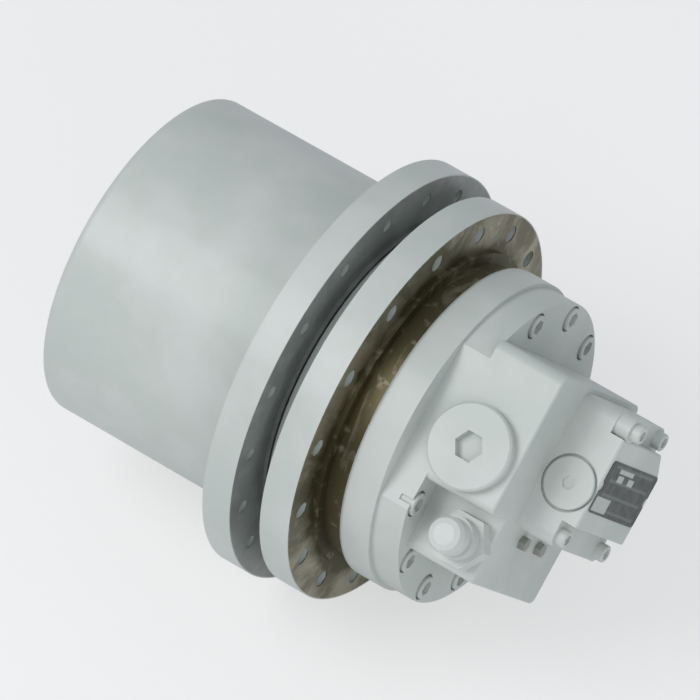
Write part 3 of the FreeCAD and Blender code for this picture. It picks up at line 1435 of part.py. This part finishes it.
def makeSpeedValve():
    plugs = newBody("speed_spool_plugs")
    size = ("dim.SpeedPlugDiameter", "dim.SpeedPlugHeight", "dim.SpeedPlugSink", "dim.SpeedPlugThread",
            "dim.SpeedPlugThreadLength", "dim.SpeedPlugBore", "dim.SpeedPlugBoreDepth",
            "dim.SpeedPlugSocket", "dim.SpeedPlugChamfer")
    hexPlug(plugs, "Front", "-dim.ValveFace", -1, "dim.SpeedPlace", "dim.SpeedHeight", size)
    hexPlug(plugs, "Back", "dim.ValveBack", 1, "dim.SpeedPlace", "dim.SpeedHeight", size)
    turnBody(plugs, "dim.PortClocking")
    middle = "(dim.ValveBack - dim.ValveFace)/2"
    ends = "%s - dim.SpeedSpoolLength/2" % middle, "%s + dim.SpeedSpoolLength/2" % middle
    spool = newBody("speed_spool")
    land = "dim.SpeedSpoolDiameter/2 - dim.RunningFit + dim.CloseFit"
    groove = "dim.SpeedSpoolDiameter/3"
    turnBeside(spool, "Spool", [
        (ends[0], "0"), (ends[0], land),
        (middle + " - dim.SpeedSpoolLength/5", land), (middle + " - dim.SpeedSpoolLength/5", groove),
        (middle + " + dim.SpeedSpoolLength/5", groove), (middle + " + dim.SpeedSpoolLength/5", land),
        (ends[1], land), (ends[1], "0"),
    ], "dim.SpeedPlace", upright=True, height="dim.SpeedHeight")
    turnBody(spool, "dim.PortClocking")
    springs = newBody("speed_springs")
    outer = half("SpeedSpringDiameter")
    inner = outer + " - dim.SpringWall/2"
    depth = "dim.SpeedPlugSink + dim.SpeedPlugThreadLength - dim.SpeedPlugBoreDepth"
    for name, start, end in (
            ("Front", "-dim.ValveFace + " + depth, ends[0]),
            ("Back", ends[1], "dim.ValveBack - (%s)" % depth)):
        turnBeside(springs, name, [(start, inner), (start, outer), (end, outer), (end, inner)],
                   "dim.SpeedPlace", upright=True, height="dim.SpeedHeight")
    turnBody(springs, "dim.PortClocking")


def makeDataPlate():
    body = newBody("data_plate")
    sketch = newSketch(body, "Outline", "YZ_Plane", valveEnd)
    bottom = "dim.PlateCentre - dim.PlateHeight/2"
    top = "dim.PlateCentre + dim.PlateHeight/2"
    front = "-dim.PlateInset - dim.PlateWidth/2"
    back = "-dim.PlateInset + dim.PlateWidth/2"
    drawOutline(sketch, [(front, bottom), (back, bottom), (back, top), (front, top)])
    plate = pad(body, sketch, "Plate", "dim.PlateThickness")
    doc.recompute()
    corners = edgesWhere(plate.Shape, lambda edge: edge.BoundBox.XLength > 0.1)
    dress(body, "Fillet", "Corners", plate, corners, "dim.PlateNotch")
    notches = newSketch(body, "Notch", "YZ_Plane", valveEnd + " + dim.PlateThickness")
    drawCircle(notches, front, "dim.PlateCentre", "dim.PlateNotch")
    drawCircle(notches, back, "dim.PlateCentre", "dim.PlateNotch")
    pocket(body, notches, "Notches", "dim.PlateThickness")
    turnBody(body, "dim.PortClocking")


# ---------- port adapter and small screws ----------

def makeAdapter():
    shelf = "-dim.ShelfDistance"
    height = "-dim.AdapterDrop"
    hexEnd = shelf + " - dim.AdapterHexHeight"
    neckEnd = hexEnd + " - dim.AdapterNeckHeight"
    body = newBody("port_adapter")
    sketch = newSketch(body, "Hex", "XZ_Plane", "dim.ShelfDistance")
    drawHexagon(sketch, "dim.AdapterPlace", height, "dim.AdapterHex")
    pad(body, sketch, "HexPad", "dim.AdapterHexHeight")
    turnBeside(body, "Turned", [
        (shelf + " + dim.AdapterThreadLength", half("AdapterBore")),
        (shelf + " + dim.AdapterThreadLength", half("AdapterThread")),
        (shelf, half("AdapterThread")),
        (hexEnd, half("AdapterThread")),
        (hexEnd, half("AdapterNeck")),
        (neckEnd, half("AdapterNeck")),
        (neckEnd, half("AdapterBore")),
    ], "dim.AdapterPlace", upright=True, height=height)
    turnBeside(body, "Bore", [
        (shelf + " + dim.AdapterThreadLength + 1", "0"),
        (shelf + " + dim.AdapterThreadLength + 1", half("AdapterBore")),
        (neckEnd + " - 1", half("AdapterBore")),
        (neckEnd + " - 1", "0"),
    ], "dim.AdapterPlace", upright=True, height=height, kind="Groove")
    turnBody(body, "dim.PortClocking")
    cap = newBody("port_cap")
    stem = neckEnd + " + dim.CapSkirt"
    top = neckEnd + " - dim.CapHeight"
    turnBeside(cap, "Cap", [
        (stem, "0"),
        (stem, "dim.AdapterBore/2 - dim.CloseFit"),
        (neckEnd, "dim.AdapterBore/2 - dim.CloseFit"),
        (neckEnd, half("CapDiameter")),
        (top + " + dim.CapRound", half("CapDiameter")),
        (top + " + dim.CapRound/4", "dim.CapDiameter/2 - dim.CapRound/3"),
        (top, "dim.CapDiameter/2 - dim.CapRound"),
        (top, "0"),
    ], "dim.AdapterPlace", upright=True, height=height)
    turnBody(cap, "dim.PortClocking")


def bleedPlaces():
    return ("BleedFront", "-dim.BleedSide"), ("BleedBack", "dim.BleedBackSide")


def makeBleedScrews():
    body = newBody("bleed_screws")
    for name, y in bleedPlaces():
        sketch = newSketch(body, name, "YZ_Plane", portEnd + " - dim.BleedDepth")
        drawCircle(sketch, y, "-dim.BleedDrop", half("BleedThread"))
        pad(body, sketch, name + "Thread", "dim.BleedDepth")
        sketch = newSketch(body, name + "Head", "YZ_Plane", portEnd)
        drawHexagon(sketch, y, "-dim.BleedDrop", "dim.BleedHex")
        pad(body, sketch, name + "HeadPad", "dim.BleedHeight")
    turnBody(body, "dim.PortClocking")


makeSpindle()
makeBearingNut()
makeMainBearings()
makeFaceSeal()
makeDrum()
makeDrumCover()
makeDrumCoverBolts()
makeOilPlugs()
makeThrustPad()
makeRingGear()
makeSuns()
makePlanets("one", int(value("dim.PlanetOneCount")), int(value("dim.PlanetOneTeeth")),
            int(value("dim.SunOneTeeth")), value(stageOneStart), value("dim.PlanetOneWidth"), "dim.PlanetOnePin")
makePlanets("two", int(value("dim.PlanetTwoCount")), int(value("dim.PlanetTwoTeeth")),
            int(value("dim.SunTwoTeeth")), value(stageTwoStart), value("dim.PlanetTwoWidth"), "dim.PlanetTwoPin")
makeCarrierOne()
makeCarrierTwoPlate()
makePlanetPins()
makePlanetBushes()
makeShaft()
makeRotor()
makeBrake()
makeCasingSeal()
makePortBlock()
makePortBolts()
makeCounterbalance()
makeReliefValves()
makeValveBlock()
makeValveScrews()
makeSpeedValve()
makeDataPlate()
makeAdapter()
makeBleedScrews()
doc.recompute()

parts = [thing for thing in doc.Objects
         if thing.TypeId == "PartDesign::Body"
         or (thing.TypeId == "Part::Feature" and not thing.InListRecursive)]
for thing in doc.Objects:
    if "Invalid" in thing.State or "Error" in thing.State:
        raise RuntimeError("%s: %s" % (thing.Name, thing.State))
for part in parts:
    if part.Shape.isNull() or not part.Shape.isValid():
        raise RuntimeError("%s has no valid shape" % part.Label)

os.makedirs("parts", exist_ok=True)
for part in parts:
    part.Shape.exportStep("parts/%s.step" % part.Label)
    box = part.Shape.BoundBox
    print("%-24s %2d solids  %9.1f cm3  x %.1f %.1f  y %.1f %.1f  z %.1f %.1f" % (
        part.Label, len(part.Shape.Solids), part.Shape.Volume / 1000,
        box.XMin, box.XMax, box.YMin, box.YMax, box.ZMin, box.ZMax))
print(len(parts), "parts")
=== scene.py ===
import bpy
import json
import math
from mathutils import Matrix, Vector

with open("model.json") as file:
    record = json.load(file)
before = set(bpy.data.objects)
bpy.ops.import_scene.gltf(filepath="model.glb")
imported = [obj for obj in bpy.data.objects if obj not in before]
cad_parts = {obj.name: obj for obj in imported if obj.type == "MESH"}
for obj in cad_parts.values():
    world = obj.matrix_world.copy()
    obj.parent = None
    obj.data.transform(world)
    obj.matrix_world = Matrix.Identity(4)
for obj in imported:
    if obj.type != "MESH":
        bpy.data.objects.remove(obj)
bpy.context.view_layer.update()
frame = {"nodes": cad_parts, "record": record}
nodes = frame["nodes"]
print("frame loaded:", len(nodes), "nodes")

driveTurn = math.radians(-54.5)  # how far the port block is clocked about the axis


# shader helpers

class Wire:
    # one socket in a material's tree; arithmetic on it adds Math nodes
    def __init__(self, shader, socket):
        self.shader, self.socket = shader, socket

    def math(self, operation, *others):
        values = {number: other for number, other in enumerate((self, *others))}
        return self.shader.node("ShaderNodeMath", {"operation": operation}, values)

    def __add__(self, other):
        return self.math("ADD", other)

    def __radd__(self, other):
        return self.math("ADD", other)

    def __sub__(self, other):
        return self.math("SUBTRACT", other)

    def __rsub__(self, other):
        return (self * -1) + other

    def __mul__(self, other):
        return self.math("MULTIPLY", other)

    def __rmul__(self, other):
        return self.math("MULTIPLY", other)

    def __pow__(self, other):
        return self.math("POWER", other)

    def atMost(self, other):
        return self.math("MINIMUM", other)

    def rise(self, low, high):
        # 0 below low, 1 above high, smooth between; low above high turns it round
        if low > high:
            return 1 - self.rise(high, low)
        values = {"Value": self, "From Min": low, "From Max": high}
        return self.shader.node("ShaderNodeMapRange", {"interpolation_type": "SMOOTHSTEP"}, values)

    def band(self, low, high, soft):
        return self.rise(low - soft, low + soft) * self.rise(high + soft, high - soft)


class Shader:
    def __init__(self, name):
        self.material = bpy.data.materials.new(name)
        self.material.use_nodes = True
        self.tree = self.material.node_tree
        self.tree.nodes.clear()
        self.output = self.tree.nodes.new("ShaderNodeOutputMaterial")

    def node(self, kind, settings=None, values=None, out=0):
        made = self.tree.nodes.new(kind)
        for key, setting in (settings or {}).items():
            setattr(made, key, setting)
        for key, value in (values or {}).items():
            self.feed(made.inputs[key], value)
        return Wire(self, made.outputs[out])

    def feed(self, target, value):
        if isinstance(value, Wire):
            self.tree.links.new(value.socket, target)
        else:
            target.default_value = value

    def mix(self, factor, low, high):
        # colours go through Mix's colour sockets, 6 and 7
        low = (*low, 1) if isinstance(low, tuple) else low
        high = (*high, 1) if isinstance(high, tuple) else high
        return self.node("ShaderNodeMix", {"data_type": "RGBA"}, {0: factor, 6: low, 7: high}, out=2)

    def place(self):
        return self.node("ShaderNodeTexCoord", out=3)

    def noise(self, at, scale, detail=3, rough=0.55, warp=0):
        values = {"Vector": at, "Scale": scale, "Detail": detail, "Roughness": rough, "Distortion": warp}
        return self.node("ShaderNodeTexNoise", None, values)

    def parts(self, vector):
        made = self.tree.nodes.new("ShaderNodeSeparateXYZ")
        self.tree.links.new(vector.socket, made.inputs[0])
        return [Wire(self, output) for output in made.outputs]

    def rings(self, x, radius, scale):
        # fine lathe rings about the drive's axis
        return self.noise(self.node("ShaderNodeCombineXYZ", None, {0: x, 1: radius, 2: 0.0}), scale, 2)

    def bump(self, height, strength, distance):
        return self.node("ShaderNodeBump", None, {"Height": height, "Strength": strength, "Distance": distance})

    def finish(self, **values):
        surface = self.tree.nodes.new("ShaderNodeBsdfPrincipled")
        for key, value in values.items():
            self.feed(surface.inputs[key.replace("_", " ")], value)
        self.tree.links.new(surface.outputs[0], self.output.inputs[0])
        return self.material


def dress(name, material):
    piece = nodes[name]
    piece.data.materials.clear()
    piece.data.materials.append(material)


# finishes

paint = {
    "colour": (0.545, 0.59, 0.56),
    "shade": (0.44, 0.48, 0.455),
    "dust": (0.63, 0.655, 0.63),
    "roughness": 0.38,
    "cloudRoughness": 0.18,
    "speckRoughness": 0.08,
    "cloudScale": 9,
    "speckScale": 420,
    "speckShare": 0.25,
    "skinScale": 900,
    "skinDepth": 0.2,
    "castScale": 130,
    "coat": 0.25,
    "coatRoughness": 0.18,
    "bump": 0.28,
    "bumpDepth": 0.0006,
}


def paintCoat(shader, at, tone=1.0):
    # the coat's colour, its slow clouds and its fine specks
    cloud = shader.noise(at, paint["cloudScale"], 4)
    speck = shader.noise(at, paint["speckScale"], 3, 0.7)
    plain = tuple(part * tone for part in paint["colour"])
    dusty = tuple(part * tone for part in paint["dust"])
    colour = shader.mix(cloud.rise(0.35, 0.7), plain, dusty)
    colour = shader.mix(speck.rise(0.62, 0.8) * paint["speckShare"], colour, paint["shade"])
    return colour, cloud, speck


def castSkin(shader, at):
    return shader.noise(at, paint["castScale"], 4, 0.6)


def greyPaint(name, grain=0.35, tone=1.0):
    shader = Shader(name)
    at = shader.place()
    colour, cloud, speck = paintCoat(shader, at, tone)
    skin = shader.noise(at, paint["skinScale"], 2)
    rough = paint["roughness"] + paint["cloudRoughness"] * cloud + paint["speckRoughness"] * speck
    height = castSkin(shader, at) * grain + skin * paint["skinDepth"]
    return shader.finish(Base_Color=colour, Roughness=rough, Coat_Weight=paint["coat"],
                         Coat_Roughness=paint["coatRoughness"],
                         Normal=shader.bump(height, paint["bump"], paint["bumpDepth"]))


turning = {
    "colour": (0.5, 0.5, 0.48),
    "darkening": (0.3, 0.29, 0.25),
    "stained": 0.6,
    "fineStain": 0.3,
    "roughness": 0.3,
    "ringScale": 2600,
    "bump": 0.25,
    "bumpDepth": 0.0002,
}


def turnedSteel(name):
    # lathe rings about the drive's axis, with a thin oily stain
    shader = Shader(name)
    at = shader.place()
    x, y, z = shader.parts(at)
    radius = (y * y + z * z) ** 0.5
    groove = shader.rings(x, radius, turning["ringScale"])
    blotch = shader.noise(at, 14, 4, 0.6)
    fine = shader.noise(at, 160, 3)
    mixed = shader.mix(blotch.rise(0.38, 0.68) * turning["stained"], turning["colour"], turning["darkening"])
    mixed = shader.mix(fine.rise(0.55, 0.8) * turning["fineStain"], mixed, turning["darkening"])
    rough = turning["roughness"] + 0.14 * groove + 0.1 * fine
    return shader.finish(Base_Color=mixed, Metallic=1.0, Roughness=rough,
                         Normal=shader.bump(groove, turning["bump"], turning["bumpDepth"]))


rubberLook = {"colour": (0.02, 0.02, 0.02), "dust": (0.09, 0.09, 0.085), "dusty": 0.5, "roughness": 0.6}


def rubber(name):
    shader = Shader(name)
    at = shader.place()
    dust = shader.noise(at, 40, 4)
    colour = shader.mix(dust.rise(0.5, 0.8) * rubberLook["dusty"], rubberLook["colour"], rubberLook["dust"])
    return shader.finish(Base_Color=colour, Roughness=rubberLook["roughness"] + 0.2 * dust,
                         Normal=shader.bump(shader.noise(at, 500, 2), 0.2, 0.0003))


metalLook = {"darker": 0.55, "cloudScale": 30, "cloudRoughness": 0.15, "fineScale": 700, "bump": 0.12}


def plainMetal(name, colour, rough, speckle=0.2):
    shader = Shader(name)
    at = shader.place()
    cloud = shader.noise(at, metalLook["cloudScale"], 4)
    fine = shader.noise(at, metalLook["fineScale"], 2)
    dark = tuple(part * metalLook["darker"] for part in colour)
    return shader.finish(Base_Color=shader.mix(cloud * speckle, colour, dark), Metallic=1.0,
                         Roughness=rough + metalLook["cloudRoughness"] * cloud,
                         Normal=shader.bump(fine, metalLook["bump"], 0.0002))


grey = greyPaint("GreyPaint")
slotFinish = {
    "grey_paint": grey,
    "white_plastic": grey,
    "dark_steel": turnedSteel("TurnedSteel"),
    "gear_steel": plainMetal("GearSteel", (0.52, 0.51, 0.49), 0.3),
    "bronze": plainMetal("Bronze", (0.62, 0.44, 0.2), 0.32),
    "seal_rubber": rubber("SealRubber"),
}
slotFinish["cast"] = slotFinish["dark_plate"] = plainMetal("CastIron", (0.25, 0.25, 0.25), 0.55, 0.4)
for subpart in frame["record"]["subparts"]:
    dress(subpart["node"], slotFinish[subpart["material_slot"]])
print("finishes")


# bare band of the frame flange, metres from the flange face and from the axis
bareFace = {
    "start": -0.0012,
    "end": 0.0268,
    "rim": 0.2098,
    "rimSoft": 0.0008,
    "ragged": 0.0016,
    "clean": (0.50, 0.46, 0.36),
    # dark colour of oil stains, painted reflection and painted shade
    "oilStainAndShade": (0.13, 0.115, 0.065),
    # painted highlight colour
    "paintedHighlight": (0.62, 0.58, 0.47),
    # painted shade of the recessed neck, growing from this radius to the next
    "shadeFrom": 0.188,
    "shadeTo": 0.166,
    "bumpDepth": 0.0005,
}


def spindleFinish():
    # paint outside, with the frame flange's face and the neck left bare and oily; on the bare metal, painted
    # shade darkens it towards the recessed neck, its blotches are oil stains and painted reflection, and its
    # bright patches are painted highlight
    shader = Shader("SpindleFinish")
    at = shader.place()
    x, y, z = shader.parts(at)
    radius = (y * y + z * z) ** 0.5
    colour, cloud, speck = paintCoat(shader, at)
    ragged = (shader.noise(at, 260, 3) - 0.5) * bareFace["ragged"]
    across = (x + ragged).band(bareFace["start"], bareFace["end"], 0.0004)
    bare = across * (radius + ragged).rise(bareFace["rim"], bareFace["rim"] - bareFace["rimSoft"])
    around = shader.node("ShaderNodeCombineXYZ", None, {0: x * 4, 1: y, 2: z})
    # blotches: oil stains and painted reflection
    blotch = shader.noise(around, 16, 5, 0.62, warp=0.6)
    # painted shade, darker towards the recessed neck
    inner = radius.rise(bareFace["shadeFrom"], bareFace["shadeTo"])
    darkening = (blotch.rise(0.34, 0.62) * 0.75 + inner * 0.7).atMost(1.0)
    metal = shader.mix(darkening, bareFace["clean"], bareFace["oilStainAndShade"])
    # bright patches: painted highlight
    metal = shader.mix(shader.noise(at, 70, 4).rise(0.56, 0.75) * 0.5, metal, bareFace["paintedHighlight"])
    groove = shader.rings(x, radius, turning["ringScale"])
    painted = (paint["roughness"] + paint["cloudRoughness"] * cloud) * (1 - bare)
    rough = painted + bare * (0.3 + 0.16 * groove + 0.1 * blotch)
    height = castSkin(shader, at) * (1 - bare) + bare * groove * 0.35
    return shader.finish(Base_Color=shader.mix(bare, colour, metal), Metallic=bare, Roughness=rough,
                         Normal=shader.bump(height, paint["bump"], bareFace["bumpDepth"]),
                         Coat_Weight=(1 - bare) * paint["coat"], Coat_Roughness=paint["coatRoughness"])


# the sprocket flange's inner face, darkened as painted shade, metres along and from the axis
shadedInnerFace = {
    "start": -0.0635,
    "full": -0.0626,
    "rim": 0.2192,
    "rimFull": 0.2185,
    "ragged": 0.0012,
    # dark and light tones of the painted shade on the inner face
    "dark": (0.26, 0.275, 0.26),
    "light": (0.36, 0.38, 0.36),
    "metallic": 0.35,
}


def drumFinish():
    # paint, with the inner face of the sprocket flange glossier and darker, its darkness a painted shade from
    # the frame flange beside it
    shader = Shader("DrumFinish")
    at = shader.place()
    x, y, z = shader.parts(at)
    radius = (y * y + z * z) ** 0.5
    colour, cloud, speck = paintCoat(shader, at)
    blotch = shader.noise(at, 26, 5, 0.65)
    ragged = (shader.noise(at, 200, 3) - 0.5) * shadedInnerFace["ragged"]
    across = (x + ragged).rise(shadedInnerFace["start"], shadedInnerFace["full"])
    inner = across * (radius + ragged).rise(shadedInnerFace["rim"], shadedInnerFace["rimFull"])
    # painted shade: the inner face darkened, in blotches
    innerShade = shader.mix(blotch.rise(0.35, 0.7), shadedInnerFace["dark"], shadedInnerFace["light"])
    painted = (paint["roughness"] + paint["cloudRoughness"] * cloud) * (1 - inner)
    return shader.finish(Base_Color=shader.mix(inner, colour, innerShade),
                         Roughness=painted + inner * (0.26 + 0.2 * blotch),
                         Coat_Weight=paint["coat"], Coat_Roughness=paint["coatRoughness"],
                         Metallic=inner * shadedInnerFace["metallic"],
                         Normal=shader.bump(castSkin(shader, at), paint["bump"], paint["bumpDepth"]))


# blank fields as (left, right, low, high), in metres in the port block's own directions
plateLook = {
    "fields": ((0.028, 0.068, 0.0005, 0.0155), (0.005, 0.045, 0.043, 0.0475),
               (-0.004, 0.012, 0.034, 0.041), (0.026, 0.042, 0.034, 0.041)),
    "soft": 0.0006,
    "ruleSpacing": 420,
    "ruleShare": 0.45,
    "dark": (0.075, 0.083, 0.078),
    "worn": (0.14, 0.15, 0.145),
    "rule": (0.27, 0.285, 0.275),
    "field": (0.55, 0.58, 0.56),
    "roughness": 0.34,
    "metallic": 0.3,
}


def plateFinish():
    # a dark plate with plain pale fields, all blank
    shader = Shader("PlateFinish")
    at = shader.place()
    x, y, z = shader.parts(at)
    along = z * -math.sin(driveTurn) - y * math.cos(driveTurn)
    height = z * math.cos(driveTurn) - y * math.sin(driveTurn)
    wear = shader.noise(at, 90, 4, 0.6)
    soft = plateLook["soft"]
    pale = 0
    for left, right, low, high in plateLook["fields"]:
        pale = along.band(left, right, soft) * height.band(low, high, soft) + pale
    pale = pale.atMost(1)
    rules = (height * plateLook["ruleSpacing"]).math("SINE").rise(0.7, 0.9)
    rules = rules * along.band(-0.05, 0.06, 0.001) * (1 - pale)
    dark = shader.mix(wear.rise(0.35, 0.7), plateLook["dark"], plateLook["worn"])
    colour = shader.mix(rules * plateLook["ruleShare"], dark, plateLook["rule"])
    return shader.finish(Base_Color=shader.mix(pale, colour, plateLook["field"]),
                         Roughness=plateLook["roughness"] + 0.2 * wear, Metallic=plateLook["metallic"],
                         Normal=shader.bump(wear, 0.2, 0.0003))


dress("spindle_casing", spindleFinish())
dress("drum_housing", drumFinish())
dress("data_plate", plateFinish())
dress("port_cap", greyPaint("CapPaint", grain=0.15, tone=1.06))
print("dressed nodes")


# floor, light and camera

stage = {
    "floor": -0.2202,
    "reach": 6.0,
    "glow": 0.55,
    "floorColours": ((0.86, 0.86, 0.86), (0.9, 0.9, 0.9)),
    "skyColour": (0.9, 0.95, 1.0, 1),
    "skyStrength": 0.5,
}
lamps = (
    # name, place, aim, size, watts
    ("KeyLamp", (-1.2, -1.6, 2.6), (0, 0, 0), 1.8, 38),
    ("FillLamp", (1.8, -1.4, 1.2), (0.1, 0, 0), 1.4, 11),
)
view = {
    "azimuth": 36.0,
    "elevation": 51.6,
    "distance": 9.0,
    "right": -0.064,
    "up": 0.0549,
    "frameWidth": 0.6757,  # metres across the picture at the target
    "sensor": 36,
}


def makeFloor():
    mesh = bpy.data.meshes.new("Floor")
    reach, level = stage["reach"], stage["floor"]
    corners = [(x * reach, y * reach, level) for x, y in ((-1, -1), (1, -1), (1, 1), (-1, 1))]
    mesh.from_pydata(corners, [], [(0, 1, 2, 3)])
    floor = bpy.data.objects.new("Floor", mesh)
    bpy.context.scene.collection.objects.link(floor)
    shader = Shader("PaleFloor")
    grain = shader.noise(shader.place(), 3, 3)
    diffuse = shader.node("ShaderNodeBsdfDiffuse", None, {"Color": shader.mix(grain, *stage["floorColours"])})
    light = shader.node("ShaderNodeEmission", None, {"Color": (1, 1, 1, 1), "Strength": 1.0})
    path = shader.tree.nodes.new("ShaderNodeLightPath")
    seen = Wire(shader, path.outputs["Is Camera Ray"])
    mixed = shader.node("ShaderNodeMixShader", None, {0: seen * stage["glow"], 1: diffuse, 2: light})
    shader.tree.links.new(mixed.socket, shader.output.inputs[0])
    mesh.materials.append(shader.material)


def makeLamp(name, place, aim, size, power):
    lamp = bpy.data.lights.new(name, "AREA")
    lamp.shape, lamp.size, lamp.energy = "SQUARE", size, power
    thing = bpy.data.objects.new(name, lamp)
    bpy.context.scene.collection.objects.link(thing)
    thing.location = place
    thing.rotation_euler = (Vector(aim) - Vector(place)).to_track_quat("-Z", "Y").to_euler()


def makeWorld():
    # white to the camera, and a cool soft light to everything else
    world = bpy.data.worlds.new("Studio")
    bpy.context.scene.world = world
    world.use_nodes = True
    tree = world.node_tree
    tree.nodes.clear()
    path = tree.nodes.new("ShaderNodeLightPath")
    soft = tree.nodes.new("ShaderNodeBackground")
    soft.inputs["Color"].default_value = stage["skyColour"]
    soft.inputs["Strength"].default_value = stage["skyStrength"]
    white = tree.nodes.new("ShaderNodeBackground")
    white.inputs["Strength"].default_value = 1.0
    mixed = tree.nodes.new("ShaderNodeMixShader")
    output = tree.nodes.new("ShaderNodeOutputWorld")
    tree.links.new(path.outputs["Is Camera Ray"], mixed.inputs[0])
    tree.links.new(soft.outputs[0], mixed.inputs[1])
    tree.links.new(white.outputs[0], mixed.inputs[2])
    tree.links.new(mixed.outputs[0], output.inputs[0])


def makeCamera():
    azimuth, elevation = math.radians(view["azimuth"]), math.radians(view["elevation"])
    distance = view["distance"]
    back = Vector((math.sin(azimuth) * math.cos(elevation), -math.cos(azimuth) * math.cos(elevation),
                   math.sin(elevation)))
    right = Vector((math.cos(azimuth), math.sin(azimuth), 0))
    up = back.cross(right)
    lens = bpy.data.cameras.new("Camera")
    lens.sensor_width = view["sensor"]
    lens.lens = view["sensor"] * distance / view["frameWidth"]
    lens.clip_start, lens.clip_end = 0.5, 60
    camera = bpy.data.objects.new("Camera", lens)
    bpy.context.scene.collection.objects.link(camera)
    camera.location = right * view["right"] + up * view["up"] + back * distance
    camera.rotation_mode = "QUATERNION"
    camera.rotation_quaternion = (-back).to_track_quat("-Z", "Y")
    bpy.context.scene.camera = camera


makeFloor()
makeWorld()
for lamp in lamps:
    makeLamp(*lamp)
makeCamera()
bpy.context.scene.view_settings.view_transform = "Standard"
print("floor, light and camera")
